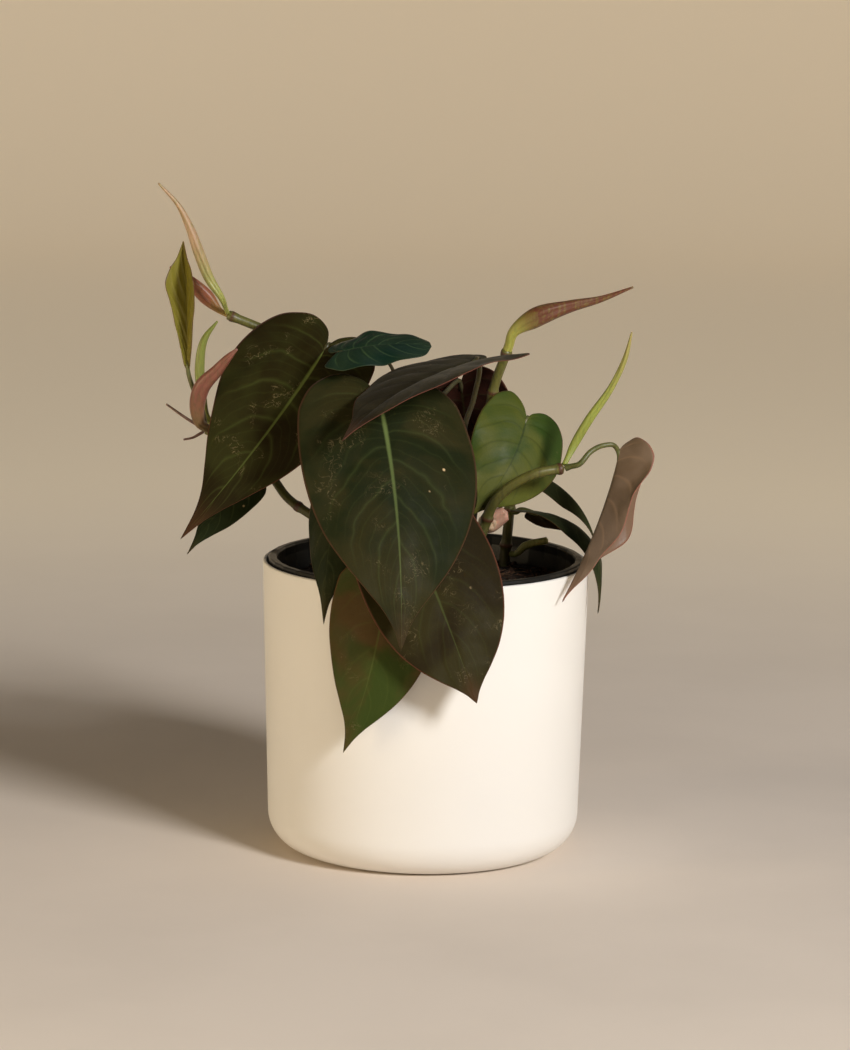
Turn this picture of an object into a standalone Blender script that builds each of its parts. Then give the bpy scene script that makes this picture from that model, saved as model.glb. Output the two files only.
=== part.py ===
"""A velvet-leaf philodendron growing in a black nursery pot that stands in a white cover pot.

Every length below is in millimetres and is turned into metres when a mesh is made. The origin is
the centre of the cover pot's foot, on the surface it stands on. X runs to the right, Y to the back,
Z up. The plant is laid out round a rim of LAYOUT_RADIUS at LAYOUT_HEIGHT; the function "site"
carries that layout to the rim that the driving sizes give, so that leaves keep hanging clear of it.
"""
import math

import bmesh
import bpy
import numpy as np

MM = 0.001

# ---- Cover pot
POT_HEIGHT = 116.5
POT_RADIUS = 65.0            # outside, at the rim
POT_DRAFT = 2.7              # how much narrower the wall is just above the foot
POT_WALL = 1.6
POT_FLOOR = 3.0
POT_CORNER = 15.0            # outside radius between wall and foot
POT_SEGMENTS = 48

# ---- Nursery pot inside it
LINER_SIDE_GAP = 0.5         # between its lip and the cover pot's wall
REST_GAP = 0.3               # between any two pieces that touch
LINER_RISE = 1.3             # how far its lip stands above the white rim
LINER_WALL = 1.0
LINER_LIP_WIDTH = 2.4
LINER_LIP_DEPTH = 4.0
LINER_FOOT_RADIUS = 47.0
DRAIN_HOLE_RADIUS = 4.0
DRAIN_HOLE_CIRCLE = 30.0
DRAIN_HOLES = 5
LINER_SEGMENTS = 40          # the root ball has as many, so that their flats face each other

# ---- Potting soil
SOIL_DROP = 8.5              # below the white rim, at the wall
SOIL_MOUND = 1.5             # how much higher the middle is

# ---- Plant
PLANT_DEPTH = 14.0           # length of stem below the soil
STEM_GAP = 0.3               # round a stem where it enters the soil
BLADE_THICKNESS = 0.7
PETIOLE_INTO_BLADE = 2.5
BRANCH_STUB = 2.0            # straight start of whatever grows from a vine
LAYOUT_RADIUS = 65.0
LAYOUT_HEIGHT = 116.5

# Half of a leaf's outline: distance from the midrib and distance along it, as shares of the
# length from the notch where the stalk joins to the tip. Both are 0 at the notch.
HALF_OUTLINE = (
    (0.0, 0.0), (0.05, -0.115), (0.15, -0.175), (0.265, -0.135), (0.35, -0.01), (0.385, 0.14),
    (0.375, 0.29), (0.325, 0.44), (0.245, 0.58), (0.15, 0.705), (0.078, 0.80), (0.034, 0.885),
    (0.014, 0.95), (0.0, 1.0),
)
HALF_WIDTH = 0.385           # the widest place of that outline

# Each vine: where it leaves the soil, its radius there and at its end, and its way through the air.
VINES = {
    "vine_left_high": dict(
        foot=(-12, 8), radius=(2.1, 1.8),
        route=((-17, 9, 140), (-28, 11, 172), (-46, 13, 196), (-63, 13, 205), (-80, 12, 212))),
    "vine_left_low": dict(
        foot=(-18, -8), radius=(2.0, 1.6),
        route=((-27, -12, 124), (-44, -13, 135), (-55, -9, 142), (-62, -3, 150), (-74, 2, 160),
               (-88, 2, 167))),
    "vine_centre": dict(
        foot=(-4, -2), radius=(2.3, 1.9),
        route=((-5, -6, 130), (-8, -10, 160), (-12, -14, 186))),
    "vine_right_high": dict(
        foot=(16, 4), radius=(2.2, 1.9),
        route=((18, 6, 132), (21, 8, 153), (24, 8, 173), (26, 6, 185), (31, 0, 201))),
    "vine_right": dict(
        foot=(17, -16), radius=(2.2, 1.9),
        route=((19, -15, 121), (23, -15, 133), (26, -18, 142), (32, -20, 149), (42, -22, 155),
               (53, -20, 157))),
    "vine_right_back": dict(
        foot=(32, 34), radius=(2.2, 1.9),
        route=((33, 33, 122), (34, 31, 135), (35, 28, 146))),
}

# Each leaf: the notch where its stalk joins (base), its tip, the way its upper side looks (face),
# its half widths seen from above with the tip down, how far the midrib arches off the straight
# line (bow) and to the right (sway), the droop of both halves in degrees (fold), how much they
# curl further (curl), how full the outline is towards the tip (full), the length of the left and
# right back lobe (lobes), and its stalk: the vine, the share of the way up it, the way to the notch.
LEAVES = {
    "leaf_front": dict(
        base=(-19, -47, 188), tip=(-9, -95, 98), face=(0.22, -0.86, 0.45), left=0.33, right=0.345,
        bow=0.08, sway=0.01, fold=8, curl=0.22, full=0.09, lobes=(0.75, 0.55),
        vine="vine_centre", share=0.80, stalk=((-11, -25, 178), (-15, -38, 183))),
    "leaf_front_lower": dict(
        base=(-7, -59, 140), tip=(20, -84, 76), face=(0.14, -0.96, 0.24), left=0.36, right=0.36,
        bow=0.05, fold=2, curl=0.06, full=0.16, lobes=(0.7, 0.8),
        vine="vine_centre", share=0.30, stalk=((-5, -22, 136), (-7, -42, 143))),
    "leaf_front_lowest": dict(
        base=(-15, -66, 121), tip=(-31, -66, 52), face=(-0.24, -0.97, 0.05), left=0.30, right=0.30,
        bow=0.05, sway=0.05, fold=8, curl=0.20, full=0.05, lobes=(0.45, 0.3),
        vine="vine_centre", share=0.18, stalk=((-6, -24, 126), (-11, -50, 127), (-14, -61, 125))),
    "leaf_left": dict(
        base=(-40, -14, 203), tip=(-96, -34, 129), face=(-0.32, -0.83, 0.46), left=0.38, right=0.25,
        bow=0.05, sway=0.05, fold=6, curl=0.05, lobes=(0.7, 0.5),
        vine="vine_left_high", share=0.62, stalk=((-33, 3, 193), (-37, -6, 201))),
    "leaf_left_behind": dict(
        base=(-70, -14, 150), tip=(-94, -22, 121), face=(-0.45, -0.80, 0.40), left=0.27, right=0.25,
        bow=0.05, fold=10, curl=0.2, lobes=(0.5, 0.5),
        vine="vine_left_low", share=0.72, stalk=((-66, -8, 153),)),
    "leaf_centre_left": dict(
        base=(-32, -34, 157), tip=(-39, -60, 101), face=(-0.50, -0.85, 0.10), left=0.25, right=0.30,
        bow=0.06, fold=16, curl=0.2,
        vine="vine_centre", share=0.55, stalk=((-14, -16, 155), (-25, -26, 160))),
    "leaf_top": dict(
        base=(17, -34, 200), tip=(-32, -99, 178), face=(-0.28, -0.08, 0.96), left=0.30, right=0.35,
        bow=0.05, sway=-0.03, fold=-6, curl=0.15,
        vine="vine_right_high", share=0.55,
        stalk=((15, 3, 166), (18, -3, 182), (20, -11, 194), (19, -22, 200))),
    "leaf_top_small": dict(
        base=(-34, -38, 204), tip=(1, -42, 207), face=(0.0, -0.42, 0.91), left=0.36, right=0.36,
        bow=0.06, fold=5, curl=0.2,
        vine="vine_centre", share=1.0, stalk=((-14, -20, 195), (-21, -30, 203))),
    "leaf_right": dict(
        base=(39, 2, 173), tip=(18, -14, 137), face=(0.35, -0.88, 0.25), left=0.43, right=0.45,
        bow=0.09, sway=0.05, fold=5, curl=0.2, full=0.08, lobes=(1.3, 0.7),
        vine="vine_right_back", share=1.0, stalk=((38, 22, 164), (40, 11, 171))),
    "leaf_centre_back": dict(
        base=(13, 19, 185), tip=(19, 37, 133), face=(0.05, 0.90, 0.35), left=0.36, right=0.36,
        bow=0.06, fold=8, curl=0.2,
        vine="vine_centre", share=0.86, stalk=((-4, -4, 175), (5, 8, 181))),
    "leaf_right_back_high": dict(
        base=(46, 26, 147), tip=(68, 16, 121), face=(0.35, 0.15, 0.92), left=0.30, right=0.30,
        bow=0.12, fold=28, curl=0.2,
        vine="vine_right_back", share=0.86, stalk=((41, 27, 148),)),
    "leaf_right_back_low": dict(
        base=(42, 20, 133), tip=(68, -20, 99), face=(0.50, 0.05, 0.86), left=0.21, right=0.21,
        bow=0.24, fold=14, curl=0.2, lobes=(0.4, 0.4),
        vine="vine_right_back", share=0.66, stalk=((38, 25, 133),)),
    "leaf_right_young": dict(
        base=(75, -19, 163), tip=(53, -44, 108), face=(-0.95, 0.10, 0.30), left=0.25, right=0.25,
        bow=-0.03, fold=50, curl=0.12, lobes=(0.6, 0.6),
        vine="vine_right", share=1.0,
        stalk=((59, -23, 159), (64, -21, 164), (69, -18, 166), (73, -17, 166))),
    "leaf_left_young": dict(
        base=(-95, -2, 191), tip=(-97, -4, 243), face=(0.35, 0.94, 0.0), left=0.19, right=0.19,
        bow=0.03, fold=52, curl=0.2, full=0.22, lobes=(0.1, 0.1),
        vine="vine_left_low", share=1.0, stalk=((-90, 1, 177), (-93, -1, 184))),
}

# Shoots grow on a vine's end or side: closed tapering forms with a radius at each route point.
# The first radius is at the vine.
SHOOTS = {
    "sheath_left_high": dict(
        vine="vine_left_high", share=1.0, inline=True, radii=(1.0, 3.0, 2.2, 0.5),
        route=((-89, 14, 219), (-95, 13, 225), (-103, 11, 231))),
    "spear_left_high": dict(
        vine="vine_left_high", share=1.0, radii=(0.9, 1.2, 1.9, 2.1, 1.6, 1.0, 0.4),
        route=((-82, 5, 219), (-87, 4, 227), (-91, 3, 237), (-95, 2, 248), (-99, 1, 256),
               (-107, 0, 265))),
    "sheath_left_low": dict(
        vine="vine_left_low", share=0.96, radii=(1.2, 2.2, 3.0, 3.2, 2.4, 1.4, 0.5),
        route=((-90, -6, 171), (-91, -9, 178), (-89, -12, 186), (-83, -15, 193), (-78, -17, 199),
               (-75, -17, 202))),
    "spear_left_low": dict(
        vine="vine_left_low", share=0.95, radii=(1.0, 1.4, 1.7, 1.9, 1.4, 0.4),
        route=((-88, 8, 171), (-90, 8, 180), (-91, 8, 192), (-89, 7, 203), (-84, 7, 210))),
    "spear_right": dict(
        vine="vine_right", share=1.0, radii=(0.9, 1.7, 2.1, 1.8, 1.2, 0.4),
        route=((57, -17, 165), (63, -18, 176), (72, -19, 190), (77, -20, 202), (79, -20, 211))),
    "leaf_unfurling": dict(
        vine="vine_right_high", share=1.0, inline=True, radii=(1.8, 2.0, 4.4, 3.3, 2.0, 0.4),
        route=((33, -3, 208), (41, -4, 214), (55, -4, 219), (67, -4, 222), (80, -4, 227))),
    "sheath_old": dict(
        vine="vine_right", share=0.42, radii=(1.4, 4.0, 3.2),
        route=((24, -9, 133), (31, -9, 137))),
    "stalk_stub": dict(
        vine="vine_right_back", share=0.22, radii=(1.2, 1.6, 1.4),
        route=((40, 31, 117), (49, 29, 120))),
    "aerial_root_upper": dict(
        vine="vine_left_low", share=1.0, radii=(0.6, 0.6, 0.4),
        route=((-95, 3, 171), (-104, 4, 177))),
    "aerial_root_lower": dict(
        vine="vine_left_low", share=1.0, radii=(0.6, 0.5, 0.4),
        route=((-93, 3, 164), (-97, 3, 163))),
}

LOOKS = {
    "white_shell": ((0.86, 0.84, 0.80), 0.55),
    "black_plastic": ((0.02, 0.02, 0.018), 0.45),
    "peat_and_bark": ((0.035, 0.022, 0.014), 0.95),
    "dark_leaf": ((0.030, 0.035, 0.015), 0.60),
    "green_leaf": ((0.055, 0.085, 0.025), 0.55),
    "bronze_leaf": ((0.21, 0.11, 0.07), 0.50),
    "green_stem": ((0.12, 0.13, 0.025), 0.55),
    "fresh_shoot": ((0.30, 0.33, 0.09), 0.50),
    "dry_sheath": ((0.27, 0.12, 0.06), 0.65),
}
LEAF_LOOKS = {"leaf_right": "green_leaf", "leaf_right_young": "bronze_leaf",
              "leaf_left_young": "bronze_leaf"}
SHOOT_LOOKS = {"sheath_left_high": "dry_sheath", "sheath_left_low": "dry_sheath",
               "sheath_old": "dry_sheath", "leaf_unfurling": "bronze_leaf",
               "aerial_root_upper": "dry_sheath", "aerial_root_lower": "dry_sheath"}


# ---------------------------------------------------------------------------------------- helpers
def clear_scene():
    for old in list(bpy.data.objects):
        bpy.data.objects.remove(old, do_unlink=True)


def look(name):
    """The Principled material of that name, made the first time it is asked for."""
    material = bpy.data.materials.get(name)
    if material is None:
        colour, roughness = LOOKS[name]
        material = bpy.data.materials.new(name)
        material.use_nodes = True
        shader = material.node_tree.nodes["Principled BSDF"]
        shader.inputs["Base Color"].default_value = (*colour, 1.0)
        shader.inputs["Roughness"].default_value = roughness
        shader.inputs["Metallic"].default_value = 0.0
    return material


def add_object(name, mesh, finish):
    mesh.materials.append(look(finish))
    piece = bpy.data.objects.new(name, mesh)
    bpy.context.scene.collection.objects.link(piece)
    return piece


def as_cutter(piece):
    piece.hide_render = True
    piece.display_type = "WIRE"
    return piece


def boolean(piece, operation, other):
    step = piece.modifiers.new(operation.lower(), "BOOLEAN")
    step.operation = operation
    step.solver = "EXACT"
    step.use_self = operation == "UNION"
    step.object = other


def unit(vector):
    vector = np.asarray(vector, float)
    return vector / np.linalg.norm(vector, axis=-1, keepdims=True)


def site(points):
    """Carry layout points to the rim that is really there: wider with it, higher with it."""
    points = np.array(points, float)
    points[..., :2] *= POT_RADIUS / LAYOUT_RADIUS
    points[..., 2] += POT_HEIGHT - LAYOUT_HEIGHT
    return points


def smooth(points, count):
    """Points evenly along a smooth curve through the given ones (a cubic Hermite curve)."""
    points = np.array(points, float)
    knots = np.r_[0, np.cumsum(np.linalg.norm(np.diff(points, axis=0), axis=1))]
    slopes = np.gradient(points, knots, axis=0)
    where = np.linspace(0, knots[-1], count)
    k = np.clip(np.searchsorted(knots, where, side="right") - 1, 0, len(points) - 2)
    span = (knots[k + 1] - knots[k])[:, None]
    s = (where[:, None] - knots[k][:, None]) / span
    return ((2 * s**3 - 3 * s**2 + 1) * points[k] + (s**3 - 2 * s**2 + s) * span * slopes[k]
            + (3 * s**2 - 2 * s**3) * points[k + 1] + (s**3 - s**2) * span * slopes[k + 1])


# ----------------------------------------------------------------------------- turned shapes
def arc(centre, radius, start, stop, steps):
    """Points on an arc in the profile plane, angles in degrees from +X towards +Z."""
    angles = np.radians(np.linspace(start, stop, steps + 1))
    return [(centre[0] + radius * math.cos(a), centre[1] + radius * math.sin(a)) for a in angles]


def turned(name, profile, segments, finish):
    """A solid of revolution: the profile, from axis to axis, spun once round Z."""
    form = bmesh.new()
    ring = [form.verts.new((r * MM, 0.0, z * MM)) for r, z in profile]
    edges = [form.edges.new(pair) for pair in zip(ring, ring[1:])]
    bmesh.ops.spin(form, geom=ring + edges, axis=(0, 0, 1), cent=(0, 0, 0), steps=segments,
                   angle=2 * math.pi, use_merge=True)
    bmesh.ops.remove_doubles(form, verts=form.verts, dist=1e-6)
    bmesh.ops.recalc_face_normals(form, faces=form.faces)
    mesh = bpy.data.meshes.new(name)
    form.to_mesh(mesh)
    form.free()
    mesh.shade_smooth()
    mesh.set_sharp_from_angle(angle=math.radians(35))
    return add_object(name, mesh, finish)


def wall_radius(z):
    """Outside radius of the cover pot at a height above its foot."""
    slope = POT_DRAFT / (POT_HEIGHT - POT_CORNER)
    return POT_RADIUS - slope * (POT_HEIGHT - z)


def make_pot():
    """White cover pot: flat foot, generous corner, thin wall that widens a little to the rim."""
    low = wall_radius(POT_CORNER)
    rim = POT_WALL / 2
    inner = POT_CORNER - POT_WALL
    inner_low = low - POT_WALL
    profile = [(0.0, 0.0)]
    profile += arc((low - POT_CORNER, POT_CORNER), POT_CORNER, -90, 0, 6)
    profile += arc((POT_RADIUS - rim, POT_HEIGHT - rim), rim, 0, 180, 3)
    profile += arc((inner_low - inner, POT_FLOOR + inner), inner, 0, -90, 5)
    profile += [(0.0, POT_FLOOR)]
    return turned("cover_pot", profile, POT_SEGMENTS, "white_shell")


def floor_under(radius):
    """Height of the cover pot's inside at a radius: its flat floor, then its rising inner corner."""
    inner = POT_CORNER - POT_WALL
    past_flat = max(0.0, radius - (wall_radius(POT_CORNER) - POT_CORNER))
    return POT_FLOOR + inner - math.sqrt(inner**2 - past_flat**2)


LINER_TOP = POT_HEIGHT + LINER_RISE
LINER_BOTTOM = floor_under(LINER_FOOT_RADIUS + REST_GAP) + REST_GAP
LIP_RADIUS = POT_RADIUS - POT_WALL - LINER_SIDE_GAP
LINER_MOUTH = LIP_RADIUS - LINER_LIP_WIDTH           # outside of its wall just under the lip


def liner_radius(z):
    """Outside radius of the nursery pot's wall at a height."""
    share = (z - LINER_BOTTOM) / (LINER_TOP - LINER_LIP_DEPTH - LINER_BOTTOM)
    return LINER_FOOT_RADIUS + (LINER_MOUTH - LINER_FOOT_RADIUS) * share


def make_liner():
    """Black nursery pot: tapering wall, turned-out lip, drain holes in its floor."""
    lip_foot = LINER_TOP - LINER_LIP_DEPTH
    bead = 0.9
    profile = [(0.0, LINER_BOTTOM), (LINER_FOOT_RADIUS - 1.0, LINER_BOTTOM),
               (LINER_FOOT_RADIUS, LINER_BOTTOM + 1.0), (liner_radius(lip_foot), lip_foot),
               (LIP_RADIUS, lip_foot)]
    profile += arc((LIP_RADIUS - bead, LINER_TOP - bead), bead, 0, 90, 2)
    profile += arc((LINER_MOUTH - LINER_WALL + bead, LINER_TOP - bead), bead, 90, 180, 2)
    profile += [(liner_radius(lip_foot) - LINER_WALL, lip_foot),
                (liner_radius(LINER_BOTTOM + 2 * LINER_WALL) - LINER_WALL, LINER_BOTTOM + 2 * LINER_WALL),
                (LINER_FOOT_RADIUS - 2 * LINER_WALL, LINER_BOTTOM + LINER_WALL),
                (0.0, LINER_BOTTOM + LINER_WALL)]
    liner = turned("nursery_pot", profile, LINER_SEGMENTS, "black_plastic")
    for number in range(DRAIN_HOLES):
        turn = 2 * math.pi * number / DRAIN_HOLES
        spot = (DRAIN_HOLE_CIRCLE * math.cos(turn), DRAIN_HOLE_CIRCLE * math.sin(turn))
        form = bmesh.new()
        bmesh.ops.create_cone(form, cap_ends=True, segments=12, radius1=DRAIN_HOLE_RADIUS * MM,
                              radius2=DRAIN_HOLE_RADIUS * MM, depth=6 * LINER_WALL * MM)
        mesh = bpy.data.meshes.new(f"drain_cutter_{number}")
        form.to_mesh(mesh)
        form.free()
        cutter = as_cutter(add_object(mesh.name, mesh, "black_plastic"))
        cutter.location = (spot[0] * MM, spot[1] * MM, (LINER_BOTTOM + LINER_WALL / 2) * MM)
        boolean(liner, "DIFFERENCE", cutter)
    return liner


SOIL_EDGE = POT_HEIGHT - SOIL_DROP


def soil_height(x, y):
    """Height of the soil's surface, a low mound."""
    reach = liner_radius(SOIL_EDGE) - LINER_WALL
    return SOIL_EDGE + SOIL_MOUND * max(0.0, 1 - (x * x + y * y) / reach**2)


def make_soil(vines):
    """The root ball: fills the nursery pot, and has a hole for each planted stem."""
    bottom = LINER_BOTTOM + LINER_WALL + REST_GAP
    inset = LINER_WALL + REST_GAP
    reach = liner_radius(SOIL_EDGE) - inset
    profile = [(0.0, bottom), (LINER_FOOT_RADIUS - inset - 2.0, bottom),
               (liner_radius(bottom + 3.0) - inset, bottom + 3.0), (reach, SOIL_EDGE)]
    profile += [(reach * share, soil_height(reach * share, 0)) for share in (0.75, 0.45, 0.0)]
    soil = turned("potting_soil", profile, LINER_SEGMENTS, "peat_and_bark")
    for name, vine in vines.items():
        planted = vine["path"][:5].copy()
        planted[0] += unit(planted[0] - planted[1]) * STEM_GAP
        hole = tube(f"hole_of_{name}", planted, vine["radii"][:5] + STEM_GAP, "peat_and_bark", 2)
        boolean(soil, "DIFFERENCE", as_cutter(hole))
    return soil


# -------------------------------------------------------------------------- stems and shoots
def tube(name, path, radii, finish, resolution):
    """A round bar along a path, with its own radius at each point and closed, flat ends."""
    curve = bpy.data.curves.new(name, "CURVE")
    curve.dimensions = "3D"
    curve.bevel_depth = MM
    curve.bevel_resolution = resolution
    curve.use_fill_caps = True
    curve.render_resolution_u = 0
    line = curve.splines.new("POLY")
    line.points.add(len(path) - 1)
    for point, place, radius in zip(line.points, path, radii):
        point.co = (*(place * MM), 1.0)
        point.radius = radius
    guide = bpy.data.objects.new(name + "_guide", curve)
    bpy.context.scene.collection.objects.link(guide)
    mesh = bpy.data.meshes.new_from_object(guide.evaluated_get(bpy.context.evaluated_depsgraph_get()))
    bpy.data.objects.remove(guide, do_unlink=True)
    form = bmesh.new()
    form.from_mesh(mesh)
    bmesh.ops.remove_doubles(form, verts=form.verts, dist=1e-6)
    bmesh.ops.recalc_face_normals(form, faces=form.faces)
    form.to_mesh(mesh)
    form.free()
    mesh.name = name
    mesh.materials.clear()
    mesh.shade_smooth()
    mesh.set_sharp_from_angle(angle=math.radians(60))
    return add_object(name, mesh, finish)


def make_vine(name, foot, radius, route):
    """A vine's path starts PLANT_DEPTH below the soil and ends at its last node."""
    route = site(route)
    x, y = site((*foot, 0))[:2]
    ground = soil_height(x, y)
    way = [(x, y, ground - PLANT_DEPTH), (x, y, ground - PLANT_DEPTH / 2), (x, y, ground)]
    buried = np.array(way)
    path = np.vstack([buried, smooth(np.vstack([buried[-1], route]), 12)[1:]])
    radii = np.interp(np.linspace(0, 1, len(path)), (0, 1), radius)
    tube(name, path, radii, "green_stem", 2)
    return dict(path=path, radii=radii)


def branch_start(vine, share, toward, inline):
    """Where a branch begins: REST_GAP off the vine's skin, and BRANCH_STUB further straight out.

    It leaves on the side of the next point of its route, or straight on from the vine's end.
    """
    path, radii = vine["path"], vine["radii"]
    spot = share * (len(path) - 1)
    low = min(int(spot), len(path) - 2)
    centre = path[low] + (path[low + 1] - path[low]) * (spot - low)
    along = unit(path[low + 1] - path[low])
    away, reach = along, REST_GAP
    if not inline:
        away = toward - centre
        forward = float(away @ along)
        away = unit(away - along * (forward if share < 1 else min(0.0, forward)))
        reach += float(np.interp(spot, np.arange(len(path)), radii))
    return [centre + away * reach, centre + away * (reach + BRANCH_STUB)]


def make_shoot(name, vines, vine, share, radii, route, inline=False):
    """A closed tapering form that grows from a vine: a spear, a sheath, a stub or a root."""
    route = site(route)
    points = np.vstack([branch_start(vines[vine], share, route[0], inline), route])
    path = smooth(points, 2 * len(points) - 1)
    knots = np.r_[0, np.cumsum(np.linalg.norm(np.diff(points, axis=0), axis=1))]
    swell = np.interp(np.linspace(0, knots[-1], len(path)), knots, (radii[0], *radii))
    tube(name, path, swell, SHOOT_LOOKS.get(name, "fresh_shoot"), 1)


# ------------------------------------------------------------------------------------- leaves
def blade_points(leaf, rows, columns):
    """The blade's middle surface, as a grid of rows along the midrib and columns across it.

    Each half of the outline is joined to the midrib by straight veins; the flat leaf is then laid
    on its arched midrib, and both halves droop by an angle that grows towards the margin.
    """
    base, tip = np.array(leaf["base"], float), np.array(leaf["tip"], float)
    length = np.linalg.norm(tip - base)
    along = (tip - base) / length
    face = np.array(leaf["face"], float)
    face = unit(face - along * (face @ along))
    side = np.cross(face, along)
    outline = smooth(HALF_OUTLINE, rows)
    forward = np.clip(outline[:, 1], 0, 1)
    reach = outline[:, 1] + leaf.get("full", 0.0) * 4 * forward * (1 - forward)
    across = np.linspace(-1, 1, columns)[None, :]
    lobe = np.where(across < 0, *leaf.get("lobes", (1.0, 1.0)))
    margin = reach[:, None] * np.where(reach[:, None] < 0, lobe, 1.0)
    midrib = np.linspace(0, 1, rows)[:, None] ** 1.5
    width = np.where(across < 0, leaf["left"], leaf["right"]) / HALF_WIDTH
    x = outline[:, :1] * across * width * length
    y = ((1 - np.abs(across)) * midrib + np.abs(across) * margin)[..., None]
    bow, sway = leaf.get("bow", 0.0) * length, leaf.get("sway", 0.0) * length
    rib = base + along * length * y + (face * bow + side * sway) * 4 * y * (1 - y)
    ahead = unit(along * length + (face * bow + side * sway) * 4 * (1 - 2 * y))
    right = unit(np.cross(face, ahead))
    up = np.cross(ahead, right)
    fold = math.radians(leaf.get("fold", 0.0))
    x = x[..., None]
    drop = np.abs(x) * math.sin(fold) + leaf.get("curl", 0.0) * x**2 / length
    return rib + x * math.cos(fold) * right - up * drop


def make_blade(name, leaf, rows, columns):
    """The leaf's blade: its middle surface, thickened to both sides."""
    grid = site(blade_points(leaf, rows, columns))
    form = bmesh.new()
    notch, tip = form.verts.new(grid[0, 0] * MM), form.verts.new(grid[-1, 0] * MM)
    body = [[form.verts.new(p * MM) for p in row] for row in grid[1:-1]]
    for left, right in zip(range(columns - 1), range(1, columns)):
        form.faces.new((notch, body[0][left], body[0][right]))
        form.faces.new((tip, body[-1][right], body[-1][left]))
        for near, far in zip(body, body[1:]):
            form.faces.new((near[left], far[left], far[right], near[right]))
    mesh = bpy.data.meshes.new(name)
    form.to_mesh(mesh)
    form.free()
    mesh.shade_smooth()
    blade = add_object(name, mesh, LEAF_LOOKS.get(name, "dark_leaf"))
    wall = blade.modifiers.new("thickness", "SOLIDIFY")
    wall.thickness = BLADE_THICKNESS * MM
    wall.offset = 0.0
    return blade


def make_leaf(name, leaf, vines):
    """One leaf, blade and stalk grown together."""
    length = np.linalg.norm(np.subtract(leaf["tip"], leaf["base"]))
    rows, columns = (11, 9) if length > 60 else (9, 7)
    blade = make_blade(name, leaf, rows, columns)
    finer = site(blade_points(leaf, 41, 3))[:, 1]
    reach = np.linalg.norm(finer - finer[0], axis=1)
    joint = finer[np.searchsorted(reach, PETIOLE_INTO_BLADE)]
    route = np.vstack([site(leaf["stalk"]), finer[0], joint])
    start = branch_start(vines[leaf["vine"]], leaf["share"], route[0], False)
    path = smooth(np.vstack([*start, route]), 2 * len(route) + 4)
    radii = np.interp(np.linspace(0, 1, len(path)), (0, 0.8, 1), (1.2, 1.0, 0.6)) * min(1, length / 55)
    boolean(blade, "UNION", as_cutter(tube(f"stalk_of_{name}", path, radii, "green_stem", 1)))


def build():
    clear_scene()
    make_pot()
    make_liner()
    vines = {name: make_vine(name, **vine) for name, vine in VINES.items()}
    make_soil(vines)
    for name, shoot in SHOOTS.items():
        make_shoot(name, vines, **shoot)
    for name, leaf in LEAVES.items():
        make_leaf(name, leaf, vines)


build()
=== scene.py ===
# %% [markdown]
# # A velvet-leaf philodendron in its pot
# A young climbing plant: six thin vines rise from a black nursery pot, bend over under the weight
# of heart-shaped leaves, and end in rolled young leaves. The pot stands in a plain white one.
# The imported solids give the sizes. Every shape that shows is worked out again here on a finer
# grid, from the same routes and leaf sizes, because solids made for weighing and colliding are
# too coarse to look at closely.

# %% Load the frame
import math

import bpy
import numpy as np
from mathutils import Matrix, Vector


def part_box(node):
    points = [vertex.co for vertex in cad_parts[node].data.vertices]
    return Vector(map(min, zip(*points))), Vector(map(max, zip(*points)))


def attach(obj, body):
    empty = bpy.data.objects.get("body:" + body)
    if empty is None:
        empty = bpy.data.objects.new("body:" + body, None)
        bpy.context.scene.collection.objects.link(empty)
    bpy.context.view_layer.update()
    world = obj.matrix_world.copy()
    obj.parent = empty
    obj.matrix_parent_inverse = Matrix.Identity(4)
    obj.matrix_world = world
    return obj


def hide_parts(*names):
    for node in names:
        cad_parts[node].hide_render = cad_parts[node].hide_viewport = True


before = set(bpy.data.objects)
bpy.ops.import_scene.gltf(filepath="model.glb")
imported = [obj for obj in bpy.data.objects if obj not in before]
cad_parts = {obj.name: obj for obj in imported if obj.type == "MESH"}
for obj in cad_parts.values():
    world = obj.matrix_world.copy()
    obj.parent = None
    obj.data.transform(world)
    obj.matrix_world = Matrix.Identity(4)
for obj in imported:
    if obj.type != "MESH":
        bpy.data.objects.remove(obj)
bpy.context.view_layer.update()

MM = 0.001
print("nodes to cover:", len(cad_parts))

# %% [markdown]
# ## The camera
# The plant is looked at from a little above its middle, with a long lens that hardly narrows
# what stands further back. The camera is placed by what it looks at, how far away it stands and
# how far it looks down, which is easier to read than a position and three angles.

# %% Camera
LOOK_AT = (-0.6, 0.0, 130.3)             # millimetres, like every length below
DISTANCE = 1592.0
LOOK_DOWN = math.radians(9.51)
TILT = math.radians(0.77)
LENS = 137.1


def new_object(name, data):
    """An object that holds the data, put in the scene."""
    thing = bpy.data.objects.new(name, data)
    bpy.context.scene.collection.objects.link(thing)
    return thing


def place_camera():
    camera = new_object("camera", bpy.data.cameras.new("camera"))
    camera.data.lens = LENS
    camera.data.sensor_width = 36.0
    back = np.array([0.0, -math.cos(LOOK_DOWN), math.sin(LOOK_DOWN)])
    turn = Matrix.Rotation(math.pi / 2 - LOOK_DOWN, 4, "X") @ Matrix.Rotation(TILT, 4, "Z")
    camera.matrix_world = Matrix.Translation((np.array(LOOK_AT) + DISTANCE * back) * MM) @ turn
    bpy.context.scene.camera = camera
    return camera


print("camera at", [round(v, 3) for v in place_camera().location])

# %% [markdown]
# ## Curves and surfaces as arrays
# Three of the helpers make nearly everything. `smooth` draws a curve through a few chosen points.
# `surface` turns a grid of points into a mesh: each row is a closed ring, and the first and the
# last row shrink to a pole, so the result is always closed. `carry` sends a profile along a path.
# Whole arrays are quick, and the formula stays visible, which it doesn't when vertices are moved
# one by one.

# %% Helpers for shapes
def unit(vector):
    vector = np.asarray(vector, float)
    return vector / np.maximum(np.linalg.norm(vector, axis=-1, keepdims=True), 1e-12)


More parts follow.
